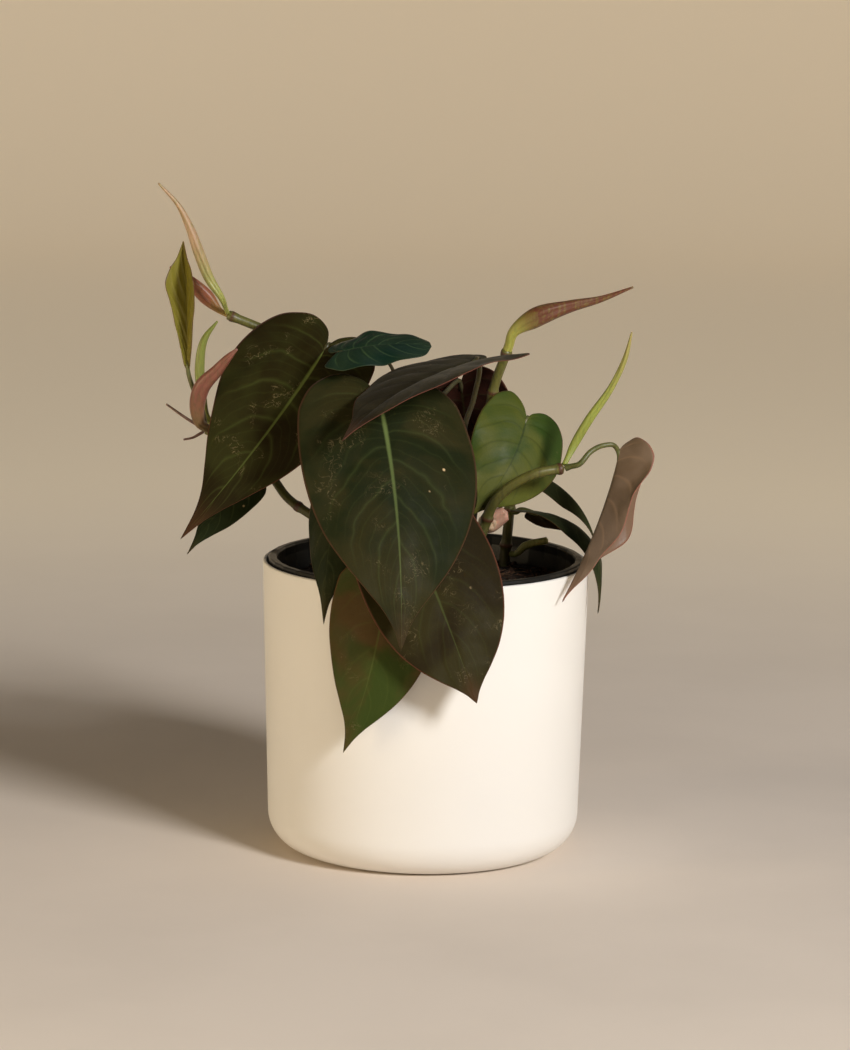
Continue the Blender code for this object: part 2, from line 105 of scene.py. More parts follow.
def smooth(points, count):
    """Points evenly along a smooth curve through the given ones.

    Between two points it is the cubic whose ends have the slopes of a line through both
    neighbours: weights 2s^3-3s^2+1 and 3s^2-2s^3 for the points, s^3-2s^2+s and s^3-s^2 for the
    slopes.
    """
    points = np.array(points, float)
    knots = np.r_[0, np.cumsum(np.linalg.norm(np.diff(points, axis=0), axis=1))]
    slopes = np.gradient(points, knots, axis=0)
    where = np.linspace(0, knots[-1], count)
    k = np.clip(np.searchsorted(knots, where, side="right") - 1, 0, len(points) - 2)
    span = (knots[k + 1] - knots[k])[:, None]
    s = (where[:, None] - knots[k][:, None]) / span
    return ((2 * s**3 - 3 * s**2 + 1) * points[k] + (s**3 - 2 * s**2 + s) * span * slopes[k]
            + (3 * s**2 - 2 * s**3) * points[k + 1] + (s**3 - s**2) * span * slopes[k + 1])


def surface(name, rings, poles, marks=None, mark_name="blade"):
    """A closed mesh of rings (rows x around x 3) between two poles, in millimetres.

    Quads join ring i to ring i+1 and wrap round, and triangles join the first and last ring to
    their pole. marks are three numbers per vertex that the material reads.
    """
    rows, around = rings.shape[:2]
    points = np.vstack([rings.reshape(-1, 3), poles]) * MM
    index = np.arange(rows * around).reshape(rows, around)
    ahead = np.roll(index, -1, axis=1)
    quads = np.stack([index[:-1], ahead[:-1], ahead[1:], index[1:]], axis=-1).reshape(-1, 4)
    first = np.stack([np.full(around, rows * around), ahead[0], index[0]], axis=-1)
    last = np.stack([np.full(around, rows * around + 1), index[-1], ahead[-1]], axis=-1)
    mesh = bpy.data.meshes.new(name)
    mesh.from_pydata(points.tolist(), [], quads.tolist() + first.tolist() + last.tolist())
    if marks is not None:
        layer = mesh.attributes.new(mark_name, "FLOAT_VECTOR", "POINT")
        layer.data.foreach_set("vector", marks.astype(np.float32).ravel())
    mesh.update()
    mesh.shade_smooth()
    return new_object(name, mesh)


def frames_along(path):
    """Direction, side and up at each point: side keeps level, so the tube doesn't twist."""
    ahead = unit(np.gradient(path, axis=0))
    level = np.array([0.31, 0.95, 0.05])
    side = unit(np.cross(ahead, level))
    return ahead, side, np.cross(side, ahead)


def carry(name, path, radii, around=20, shape=None, ring_marks=None):
    """A round bar: at each path point a ring of radius r, r times shape(turn, share along).

    Point = path + r (cos(turn) side + sin(turn) up). Both ends are domed by 0.4 r.
    """
    ahead, side, up = frames_along(path)
    turn = np.linspace(0, 2 * np.pi, around, endpoint=False)[None, :]
    share = np.linspace(0, 1, len(path))[:, None]
    swell = np.ones((len(path), around)) if shape is None else shape(turn, share)
    reach = (np.asarray(radii)[:, None] * swell)[..., None]
    rings = (path[:, None] + reach * (np.cos(turn)[..., None] * side[:, None]
                                      + np.sin(turn)[..., None] * up[:, None]))
    poles = np.array([path[0] - ahead[0] * radii[0] * 0.4, path[-1] + ahead[-1] * radii[-1] * 0.4])
    marks = np.zeros((len(path), around, 3))
    marks[..., 0] = np.sin(turn)
    marks[..., 1] = share
    if ring_marks is not None:
        marks[..., 2] = np.asarray(ring_marks)[:, None]
    marks = np.vstack([marks.reshape(-1, 3), [marks[0, 0], marks[-1, 0]]])
    return surface(name, rings, poles, marks, "stem")


def revolve(name, profile, around, lift=None):
    """A profile of (radius, height) pairs from the axis to the axis, turned round Z.

    Point = (r cos(turn), r sin(turn), z), and lift(x, y, z) may move it up or down.
    """
    profile = np.array(profile, float)
    turn = np.linspace(0, 2 * np.pi, around, endpoint=False)[None, :]
    r, z = profile[1:-1, 0][:, None], profile[1:-1, 1][:, None]
    rings = np.stack([r * np.cos(turn), r * np.sin(turn), z + 0 * turn], axis=-1)
    poles = np.array([[0, 0, profile[0, 1]], [0, 0, profile[-1, 1]]], float)
    if lift is not None:
        rings[..., 2] += lift(rings[..., 0], rings[..., 1], rings[..., 2])
        poles[:, 2] += lift(poles[:, 0], poles[:, 1], poles[:, 2])
    return surface(name, rings, poles)


def arc(centre, radius, start, stop, steps):
    """Points on an arc of a profile: centre + radius (cos, sin) of angles in degrees."""
    angles = np.radians(np.linspace(start, stop, steps))
    return [(centre[0] + radius * math.cos(a), centre[1] + radius * math.sin(a)) for a in angles]


def finish_piece(piece, node, material):
    """The piece stands for that CAD node, rides with the pot and takes its finish."""
    piece.data.materials.append(material)
    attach(piece, "root")
    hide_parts(node)
    return piece


print("helpers ready")

# %% [markdown]
# ## Building materials from nodes
# A material is a small graph. Two short helpers keep the graphs readable: one adds a node and
# fills or links its inputs, the other does a piece of arithmetic. The shared effects (veins,
# mottling) are node groups, built once, whose masks mix the colours that each leaf brings.

# %% Helpers for materials
def add(tree, kind, inputs=(), **settings):
    """A node of that kind, its settings set, and its inputs given a value or a link."""
    node = tree.nodes.new(kind)
    for key, value in settings.items():
        setattr(node, key, value)
    for key, value in dict(inputs).items():
        if isinstance(value, bpy.types.NodeSocket):
            tree.links.new(value, node.inputs[key])
        else:
            node.inputs[key].default_value = value
    return node


def calc(tree, operation, a, b=0.0, c=0.0):
    """One piece of arithmetic on two or three numbers."""
    return add(tree, "ShaderNodeMath", {0: a, 1: b, 2: c}, operation=operation).outputs[0]


def ease(tree, value, low, high, out_low=0.0, out_high=1.0):
    """Out_low below low, out_high above high, and a smooth step between them."""
    return add(tree, "ShaderNodeMapRange",
               {"Value": value, "From Min": low, "From Max": high, "To Min": out_low,
                "To Max": out_high}, interpolation_type="SMOOTHSTEP").outputs["Result"]


def mix(tree, share, a, b):
    """Colour a where share is 0, and colour b where it is 1."""
    colour = [(*v, 1.0) if isinstance(v, tuple) else v for v in (a, b)]
    return add(tree, "ShaderNodeMix", {0: share, 6: colour[0], 7: colour[1]},
               data_type="RGBA").outputs[2]


def noise(tree, scale, detail=3.0, distortion=0.0, stretch=(1, 1, 1)):
    """Smooth noise on the piece's own place, with that many features to the metre."""
    place = add(tree, "ShaderNodeTexCoord").outputs["Object"]
    spread = add(tree, "ShaderNodeMapping", {"Vector": place, "Scale": stretch}).outputs[0]
    return add(tree, "ShaderNodeTexNoise", {"Vector": spread, "Scale": scale, "Detail": detail,
                                            "Distortion": distortion}).outputs["Fac"]


def new_group(name, inputs, outputs):
    group = bpy.data.node_groups.new(name, "ShaderNodeTree")
    for label, value in inputs.items():
        socket = group.interface.new_socket(label, in_out="INPUT", socket_type="NodeSocketFloat")
        socket.default_value = value
    for label in outputs:
        group.interface.new_socket(label, in_out="OUTPUT", socket_type="NodeSocketFloat")
    given = group.nodes.new("NodeGroupInput").outputs
    return group, given, group.nodes.new("NodeGroupOutput").inputs


def new_material(name, roughness, **fixed):
    """A Principled material; a value that is the same all over sits on the shader's own socket."""
    material = bpy.data.materials.new(name)
    material.use_nodes = True
    tree = material.node_tree
    shader = tree.nodes["Principled BSDF"]
    shader.inputs["Roughness"].default_value = roughness
    for key, value in fixed.items():
        shader.inputs[key.replace("_", " ")].default_value = value
    return material, tree, shader


def bump(tree, shader, height, strength, distance):
    node = add(tree, "ShaderNodeBump", {"Height": height, "Strength": strength,
                                        "Distance": distance * MM})
    tree.links.new(node.outputs[0], shader.inputs["Normal"])


print("material helpers ready")

# %% [markdown]
# ## The white cover pot
# It is a turned form: a flat foot, a generous corner and a wall that widens a little to a thin
# rounded rim. A profile turned round the axis gives exactly that, and its sizes come from the
# solid's box. The finish is smooth and satin, with a faint waviness that only shows in highlights.

# %% Pot sizes
pot_low, pot_high = (np.array(corner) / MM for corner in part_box("cover_pot"))
POT_RADIUS = (pot_high[0] - pot_low[0]) / 2
POT_HEIGHT = pot_high[2]
POT_CORNER = 15.0
POT_DRAFT = 2.7
POT_WALL = 1.6
POT_FLOOR = 3.0
POT_AROUND = 144                         # points round each ring
print("pot:", round(POT_RADIUS * 2, 1), "mm wide,", round(POT_HEIGHT, 1), "mm tall")

# %% White finish
def white_finish():
    material, tree, shader = new_material("satin_white", 0.42, Specular_IOR_Level=0.4)
    cloud = noise(tree, 9.0, 2.0)
    colour = mix(tree, ease(tree, cloud, 0.35, 0.7), (0.86, 0.845, 0.815), (0.82, 0.80, 0.765))
    tree.links.new(colour, shader.inputs["Base Color"])
    tree.links.new(ease(tree, noise(tree, 40.0, 3.0), 0.3, 0.7, 0.38, 0.5), shader.inputs["Roughness"])
    bump(tree, shader, noise(tree, 700.0, 2.0), 0.05, 0.2)
    return material


# %% Cover pot
def cover_pot():
    low = POT_RADIUS - POT_DRAFT
    rim = POT_WALL / 2
    inner = POT_CORNER - POT_WALL
    profile = [(0, 0), (12, 0), (30, 0), (low - POT_CORNER - 0.5, 0)]
    profile += arc((low - POT_CORNER, POT_CORNER), POT_CORNER, -90, 0, 22)
    profile += [(low + POT_DRAFT * s, POT_CORNER + (POT_HEIGHT - rim - POT_CORNER) * s)
                for s in np.linspace(0.05, 0.95, 12)]
    profile += arc((POT_RADIUS - rim, POT_HEIGHT - rim), rim, 0, 180, 12)
    profile += arc((low - POT_WALL - inner, POT_FLOOR + inner), inner, 0, -90, 12)
    profile += [(20, POT_FLOOR), (0, POT_FLOOR)]
    piece = revolve("white_pot", profile, POT_AROUND)
    return finish_piece(piece, "cover_pot", white_finish())


print("pot rings:", len(cover_pot().data.vertices) // POT_AROUND)

# %% [markdown]
# ## The nursery pot and the soil
# The black pot is thin moulded plastic with a turned-out lip. Its solid has the drain holes, so
# it stays as it is and only gets its finish. The soil is a low mound of dark peat. Its surface is
# turned like the pot and then lifted by a few crossed waves, and small slabs of bark and strands
# of coir lie on it. All the slabs are one mesh, computed at once from a table of random places,
# sizes and turns.

# %% Black plastic finish
def black_finish():
    material, tree, shader = new_material("black_plastic", 0.45, Specular_IOR_Level=0.25)
    dust = ease(tree, noise(tree, 60.0, 4.0), 0.5, 0.75)
    tree.links.new(mix(tree, dust, (0.012, 0.012, 0.011), (0.03, 0.026, 0.02)),
                   shader.inputs["Base Color"])
    tree.links.new(ease(tree, dust, 0.0, 1.0, 0.34, 0.6), shader.inputs["Roughness"])
    bump(tree, shader, noise(tree, 900.0, 2.0), 0.15, 0.2)
    return material


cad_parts["nursery_pot"].data.materials.clear()
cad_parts["nursery_pot"].data.materials.append(black_finish())

# %% Soil finish
def soil_finish(name, dark, light, chip):
    material, tree, shader = new_material(name, 0.95, Specular_IOR_Level=0.25)
    grain = noise(tree, 420.0, 5.0)
    tone = mix(tree, ease(tree, grain, 0.38, 0.68), dark, light)
    flecks = ease(tree, noise(tree, 1300.0, 2.0), 0.62, 0.7)
    tree.links.new(mix(tree, flecks, tone, chip), shader.inputs["Base Color"])
    bump(tree, shader, grain, 0.9, 1.5)
    return material


# %% Soil mound
soil_low, soil_high = (np.array(corner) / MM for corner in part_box("potting_soil"))
SOIL_DROP = 8.5                          # how far the soil stays below the white rim
SOIL_EDGE = POT_HEIGHT - SOIL_DROP
SOIL_MOUND = 1.5                         # how much higher the middle is
SOIL_DEPTH = 14.0                        # of the part that shows; the solid goes on below
SOIL_RADIUS = (soil_high[0] - soil_low[0]) / 2


def crumbs(x, y):
    """Lumps up to about 1 mm: a sum of crossed waves of 4 to 15 mm."""
    return (0.30 * np.sin(x * 0.42 + 1.7 * np.sin(y * 0.31)) + 0.28 * np.sin(y * 0.55 + x * 0.21 + 1.3)
            + 0.20 * np.sin(x * 1.13 - y * 0.87) + 0.16 * np.sin(x * 0.74 + y * 1.52 + 0.6))


def soil_height(x, y):
    return SOIL_EDGE + SOIL_MOUND * np.maximum(0.0, 1 - (x * x + y * y) / SOIL_RADIUS**2)


def soil_mound():
    floor = SOIL_EDGE - SOIL_DEPTH
    rim = [(SOIL_RADIUS * s - 1.0, SOIL_EDGE) for s in np.linspace(1.0, 0.02, 56)]
    profile = [(0, floor), (SOIL_RADIUS * 0.6, floor), (SOIL_RADIUS - 3.0, floor + 0.5), *rim,
               (0, SOIL_EDGE)]

    def lift(x, y, z):
        return np.where(z > SOIL_EDGE - 1, soil_height(x, y) - SOIL_EDGE + crumbs(x, y) - 0.5, 0.0)

    piece = revolve("soil_surface", profile, 160, lift)
    peat = soil_finish("dark_peat", (0.010, 0.007, 0.005), (0.035, 0.022, 0.014), (0.10, 0.06, 0.035))
    return finish_piece(piece, "potting_soil", peat)


print("soil points:", len(soil_mound().data.vertices))

# %% Bark chips and coir
def scatter(chance, count):
    """Places on the soil, evenly by area, and the height of the soil there."""
    reach = (SOIL_RADIUS - 5.0) * np.sqrt(chance.random(count))
    turn = chance.random(count) * 2 * np.pi
    x, y = reach * np.cos(turn), reach * np.sin(turn)
    return np.stack([x, y, soil_height(x, y) + crumbs(x, y) - 0.3], axis=-1)


def join_copies(name, bodies, faces):
    """One mesh of many copies: bodies is copies x points x 3, faces is for a single copy."""
    copies, points = bodies.shape[:2]
    every = (np.array(faces)[None] + (np.arange(copies) * points)[:, None, None]).reshape(-1, 4)
    mesh = bpy.data.meshes.new(name)
    mesh.from_pydata((bodies.reshape(-1, 3) * MM).tolist(), [], every.tolist())
    mesh.update()
    return new_object(name, mesh)


BOX_FACES = ((0, 2, 3, 1), (4, 5, 7, 6), (0, 1, 5, 4), (2, 6, 7, 3), (0, 4, 6, 2), (1, 3, 7, 5))


def bark_chips(count=260):
    """Slabs with broken corners: a box's eight corners, each moved at random, then turned."""
    chance = np.random.default_rng(11)
    corner = np.array([[x, y, z] for z in (-1, 1) for y in (-1, 1) for x in (-1, 1)], float)
    size = np.stack([chance.uniform(0.8, 3.2, count), chance.uniform(0.5, 1.5, count),
                     chance.uniform(0.2, 0.6, count)], axis=-1)
    body = corner[None] * (1 + chance.uniform(-0.35, 0.15, (count, 8, 3))) * size[:, None]
    yaw, lean = chance.uniform(0, 2 * np.pi, count), chance.normal(0, 0.35, count)
    c, s, cl, sl = (f[:, None] for f in (np.cos(yaw), np.sin(yaw), np.cos(lean), np.sin(lean)))
    x, z = body[..., 0] * cl + body[..., 2] * sl, body[..., 2] * cl - body[..., 0] * sl
    body = np.stack([x * c - body[..., 1] * s, x * s + body[..., 1] * c, z], axis=-1)
    chips = join_copies("bark_chips", body + scatter(chance, count)[:, None], BOX_FACES)
    bark = soil_finish("bark", (0.022, 0.011, 0.006), (0.075, 0.036, 0.02), (0.14, 0.08, 0.045))
    return finish_piece(chips, "potting_soil", bark)


def coir_strands(count=150, steps=7):
    """Thin square strands: a bent line of a few steps, each step a square ring."""
    chance = np.random.default_rng(23)
    along = np.linspace(-1, 1, steps)[None, :]
    length = chance.uniform(3, 9, (count, 1))
    yaw, bend = chance.uniform(0, 2 * np.pi, (count, 1)), chance.normal(0, 1.6, (count, 1))
    x, y = along * length / 2, bend * (along**2 - 0.4)
    z = chance.uniform(0.1, 0.9, (count, 1)) * (1 - along**2) + 0.3
    line = np.stack([x * np.cos(yaw) - y * np.sin(yaw), x * np.sin(yaw) + y * np.cos(yaw), z], axis=-1)
    side = np.stack([-np.sin(yaw), np.cos(yaw), 0 * yaw], axis=-1)
    up = np.array([0, 0, 1.0])
    thick = (0.16 * (1.02 - along**4))[..., None, None]
    square = np.stack([side, np.broadcast_to(up, side.shape), -side, np.broadcast_to(-up, side.shape)],
                      axis=2)
    body = line[:, :, None] + square * thick
    body = (body + scatter(chance, count)[:, None, None]).reshape(count, steps * 4, 3)
    walls = [(4 * i + j, 4 * i + (j + 1) % 4, 4 * i + 4 + (j + 1) % 4, 4 * i + 4 + j)
             for i in range(steps - 1) for j in range(4)]
    end = 4 * (steps - 1)
    faces = walls + [(3, 2, 1, 0), (end, end + 1, end + 2, end + 3)]
    strands = join_copies("coir_strands", body, faces)
    coir = soil_finish("coir", (0.045, 0.022, 0.011), (0.13, 0.07, 0.035), (0.2, 0.12, 0.06))
    return finish_piece(strands, "potting_soil", coir)


print("chips:", len(bark_chips().data.polygons) // len(BOX_FACES))
print("strand faces:", len(coir_strands().data.polygons))

# %% [markdown]
# ## Where the plant stands
# The routes of stems and leaves are chosen as someone arranging the plant would, for a rim of
# a given radius and height. `site` carries them to the rim that is really there, so the plant
# follows the pot. Each vine leaves the soil at its foot, bends through its route and ends at its
# last node.

# %% Vines
LAYOUT_RADIUS = 65.0                     # the rim that the routes were chosen for
LAYOUT_HEIGHT = 116.5
VINE_DEPTH = 4.0                         # how far a vine starts under the soil

VINES = {
    "vine_left_high": dict(
        foot=(-12, 8), radius=(2.1, 1.8),
        route=((-17, 9, 140), (-28, 11, 172), (-46, 13, 196), (-63, 13, 205), (-80, 12, 212))),
    "vine_left_low": dict(
        foot=(-18, -8), radius=(2.0, 1.6),
        route=((-27, -12, 124), (-44, -13, 135), (-55, -9, 142), (-62, -3, 150), (-74, 2, 160),
               (-88, 2, 167))),
    "vine_centre": dict(
        foot=(-4, -2), radius=(2.3, 1.9),
        route=((-5, -6, 130), (-8, -10, 160), (-12, -14, 186))),
    "vine_right_high": dict(
        foot=(16, 4), radius=(2.2, 1.9),
        route=((18, 6, 132), (21, 8, 153), (24, 8, 173), (26, 6, 185), (31, 0, 201))),
    "vine_right": dict(
        foot=(17, -16), radius=(2.2, 1.9),
        route=((19, -15, 121), (23, -15, 133), (26, -18, 142), (32, -20, 149), (42, -22, 155),
               (53, -20, 157))),
    "vine_right_back": dict(
        foot=(32, 34), radius=(2.2, 1.9),
        route=((33, 33, 122), (34, 31, 135), (35, 28, 146))),
}


def site(points):
    """Wider with the rim, and higher with it."""
    points = np.array(points, float)
    points[..., :2] *= POT_RADIUS / LAYOUT_RADIUS
    points[..., 2] += POT_HEIGHT - LAYOUT_HEIGHT
    return points


def vine_path(foot, radius, route, count=90):
    """The vine's middle line from just under the soil to its last node, and its radius there."""
    x, y = site((*foot, 0))[:2]
    ground = float(soil_height(x, y))
    path = smooth(np.vstack([[x, y, ground - VINE_DEPTH], [x, y, ground], site(route)]), count)
    return path, np.interp(np.linspace(0, 1, count), (0, 1), radius)


VINE_LINES = {name: vine_path(**vine) for name, vine in VINES.items()}
print("vine lengths, mm:", {name: round(float(np.linalg.norm(np.diff(line, axis=0), axis=1).sum()))
                            for name, (line, _) in VINE_LINES.items()})

# %% [markdown]
# ## The finish of stems
# A stem is waxy olive green, browner towards the light and at each node, with fine lines along
# it. The nodes are rings where a leaf grows. The mesh carries three numbers per point: which side
# it is on, how far along the stem it is, and how near a ring, so that colour and swelling agree.

# %% Stem finish
def stem_finish(name, foot, end, ring, turn=(0.0, 1.0), streak=0.5, roughness=0.42):
    """Foot colour below turn[0] of the length, end colour above turn[1], ring colour at nodes."""
    material, tree, shader = new_material(name, roughness, Specular_IOR_Level=0.5,
                                          Subsurface_Weight=0.08, Subsurface_Scale=0.002)
    marks = add(tree, "ShaderNodeAttribute", attribute_name="stem").outputs["Vector"]
    part = add(tree, "ShaderNodeSeparateXYZ", {0: marks}).outputs
    tone = mix(tree, ease(tree, part["Y"], *turn), foot, end)
    lines = noise(tree, 900.0, 3.0, 0.3, (1, 1, 0.12))
    tone = mix(tree, calc(tree, "MULTIPLY", ease(tree, lines, 0.4, 0.75), streak), tone,
               tuple(c * 0.55 for c in foot))
    side = ease(tree, part["X"], -1.0, 1.0)
    tone = mix(tree, calc(tree, "MULTIPLY", side, 0.25), tone, ring)
    tone = mix(tree, ease(tree, part["Z"], 0.35, 0.85), tone, ring)
    tree.links.new(tone, shader.inputs["Base Color"])
    bump(tree, shader, lines, 0.25, 0.3)
    return material


GREEN_STEM = stem_finish("olive_stem", (0.045, 0.045, 0.014), (0.13, 0.125, 0.025),
                         (0.085, 0.035, 0.016))
GREEN_STALK = stem_finish("leaf_stalk", (0.10, 0.11, 0.028), (0.13, 0.13, 0.04), (0.11, 0.05, 0.025))
DARK_STALK = stem_finish("dark_leaf_stalk", (0.055, 0.045, 0.02), (0.06, 0.055, 0.022),
                         (0.05, 0.02, 0.012))

# %% Vines with their nodes
NODE_SHARES = {"vine_left_high": (0.30, 0.62, 0.80, 0.985), "vine_left_low": (0.25, 0.50, 0.74, 0.97),
               "vine_centre": (0.2, 0.45, 0.7, 0.97), "vine_right_high": (0.25, 0.55, 0.8, 0.985),
               "vine_right": (0.28, 0.45, 0.985), "vine_right_back": (0.3, 0.66, 0.97)}


NODE_REACH = 1.1
NODE_SWELL = 0.28


def ring_swelling(count, shares, length):
    """1 on each node, falling to 0 within about 2 mm: a bell exp(-(distance / NODE_REACH)^2)."""
    here = np.linspace(0, length, count)[:, None]
    return np.exp(-((here - np.array(shares)[None] * length) / NODE_REACH) ** 2).max(axis=1)


def make_vine(name):
    path, radii = VINE_LINES[name]
    length = float(np.linalg.norm(np.diff(path, axis=0), axis=1).sum())
    rings = ring_swelling(len(path), NODE_SHARES[name], length)
    piece = carry(name.replace("vine", "stem"), path, radii * (1 + NODE_SWELL * rings), 18,
                  lambda turn, share: 1 + 0.03 * np.cos(3 * turn + 4 * share), rings)
    return finish_piece(piece, name, GREEN_STEM)


for name in VINES:
    make_vine(name)
print("stems:", len(VINES))

# %% [markdown]
# ## The leaf as a surface
# A heart-shaped leaf has two halves. Each half is spanned by lines that run from the midrib to
# the outline, close to the way its side veins run. So two numbers place any point: how far along
# (0 at the notch, 1 at the tip) and how far across (-1 and 1 on the margins, 0 on the midrib).
# The flat leaf is then laid on an arched midrib, both halves droop, the blade puffs up between
# its veins, and the margin waves a little. Upper and lower skin are the same surface moved out
# along its normal, a little less at the margin, and together they close into one thin body.

# %% Leaf shape
HALF_OUTLINE = (
    (0.0, 0.0), (0.05, -0.115), (0.15, -0.175), (0.265, -0.135), (0.35, -0.01), (0.385, 0.14),
    (0.375, 0.29), (0.325, 0.44), (0.245, 0.58), (0.15, 0.705), (0.078, 0.80), (0.034, 0.885),
    (0.014, 0.95), (0.0, 1.0),
)
YOUNG_OUTLINE = (
    (0.0, 0.0), (0.05, 0.03), (0.13, 0.14), (0.24, 0.34), (0.33, 0.54), (0.385, 0.70),
    (0.30, 0.80), (0.15, 0.88), (0.06, 0.95), (0.0, 1.0),
)
BLUNT_OUTLINE = (
    (0.0, 0.0), (0.06, -0.12), (0.20, -0.17), (0.33, -0.05), (0.385, 0.15), (0.34, 0.38),
    (0.30, 0.60), (0.27, 0.80), (0.17, 0.95), (0.0, 1.0),
)
HALF_WIDTH = 0.385
BLADE_EDGE = 0.25                        # thickness at the margin
BLADE_MIDDLE = 0.7                       # thickness at the midrib
VEIN_COUNT = 7.0
BLADE_ROWS, BLADE_COLUMNS = 84, 49


def vein_phase(along, across):
    """Whole numbers fall on veins, which sweep towards the tip and alternate left and right."""
    out = np.abs(across)
    return (along - 0.13 * out - 0.12 * out**2) * VEIN_COUNT + 0.4 * (across < 0)


def quilting(along, across):
    """Height between veins, 0 on them: |sin(pi phase)|^0.7, fading at midrib, margin and tip."""
    out = np.abs(across)
    swell = np.abs(np.sin(np.pi * vein_phase(along, across))) ** 0.7
    return swell * (out * (1.12 - out)) * 3.2 * np.clip(1.15 - along, 0, 1)


def blade_middle(leaf, rows, columns):
    """The blade's middle surface.

    side = face x along, rib = base + along L y + (face bow + side sway) 4y(1-y), and a point is
    rib + x cos(fold) right - up (|x| sin(fold) + curl x^2 / L).
    """
    base, tip = np.array(leaf["base"], float), np.array(leaf["tip"], float)
    length = np.linalg.norm(tip - base)
    ahead0 = (tip - base) / length
    face = unit(np.array(leaf["face"]) - ahead0 * np.dot(leaf["face"], ahead0))
    side = np.cross(face, ahead0)
    outline = smooth(leaf.get("outline", HALF_OUTLINE), rows)
    forward = np.clip(outline[:, 1], 0, 1)
    reach = (outline[:, 1] + leaf.get("full", 0.0) * 4 * forward * (1 - forward))[:, None]
    across = np.linspace(-1, 1, columns)[None, :]
    along = np.linspace(0, 1, rows)[:, None]
    lobes = np.where(across < 0, *leaf.get("lobes", (1.0, 1.0)))
    margin = reach * np.where(reach < 0, lobes, 1.0)
    spread = np.where(across < 0, leaf["left"], leaf["right"]) / HALF_WIDTH
    x = (outline[:, :1] * across * spread * length)[..., None]
    y = ((1 - np.abs(across)) * along**1.5 + np.abs(across) * margin)[..., None]
    offset = face * leaf.get("bow", 0.0) * length + side * leaf.get("sway", 0.0) * length
    rib = base + ahead0 * length * y + offset * 4 * y * (1 - y)
    ahead = unit(ahead0 * length + offset * 4 * (1 - 2 * y))
    right = unit(np.cross(face, ahead))
    up = np.cross(ahead, right)
    fold = math.radians(leaf.get("fold", 0.0))
    drop = np.abs(x) * math.sin(fold) + leaf.get("curl", 0.0) * x**2 / length
    points = rib + x * math.cos(fold) * right - up * drop
    out = np.abs(across)
    wave = leaf.get("wave", 1.0) * length / 100 * out**3 * (
        0.8 * np.sin(11 * along + 2 * np.sign(across)) + 0.5 * np.sin(23 * along + across * 3))
    groove = -0.9 * np.exp(-(out / 0.07) ** 2) * (1 - along) ** 0.7 * length / 100
    puff = quilting(along, across) * leaf.get("puff", 1.0) * length / 100
    ends = np.sin(np.pi * np.clip(along * 1.02, 0, 1)) ** 0.5
    points = points + up * ((wave + groove + puff) * ends)[..., None]
    return points, up, np.broadcast_to(along, (rows, columns)), across + 0 * along


def make_blade(name, leaf, material):
    """Upper skin across from left to right, lower skin back again, as one ring per row."""
    points, up, along, across = blade_middle(leaf, BLADE_ROWS, BLADE_COLUMNS)
    points = site(points)
    across_step = np.gradient(points, axis=1)
    along_step = np.gradient(points, axis=0)
    normal = unit(np.cross(along_step, across_step))
    normal *= np.sign((normal * up).sum(-1, keepdims=True))
    half = (BLADE_EDGE + (BLADE_MIDDLE - BLADE_EDGE) * (1 - across**2) ** 2)[..., None] / 2
    upper, lower = points + normal * half, points - normal * half
    rings = np.concatenate([upper, lower[:, ::-1]], axis=1)[1:-1]
    skin = np.concatenate([0 * across, 0 * across + 1], axis=1)[1:-1]
    marks = np.stack([np.concatenate([across, across[:, ::-1]], axis=1)[1:-1],
                      np.concatenate([along, along[:, ::-1]], axis=1)[1:-1], skin], axis=-1)
    marks = np.vstack([marks.reshape(-1, 3), [[0, 0, 0.5], [0, 1, 0.5]]])
    piece = surface(name, rings, points[[0, -1], BLADE_COLUMNS // 2], marks, "blade")
    piece.data.materials.append(material)
    return piece


print("one blade has", (BLADE_ROWS - 2) * BLADE_COLUMNS * 2 + 2, "points")

# %% [markdown]
# ## Veins and mottling as node groups
# Every leaf shows the same build: a pale midrib that is broad at the notch, side veins that
# arch forward, finer veins between them, and a thin coloured margin. One group reads the three
# numbers of the mesh (across, along, skin) and gives masks. It has the same vein formula as the
# shape, and only lets the veins wander a little, so colour and relief fall nearly together. A
# second group gives the marks that age leaves: soft clouds, pale scribbles and small specks.

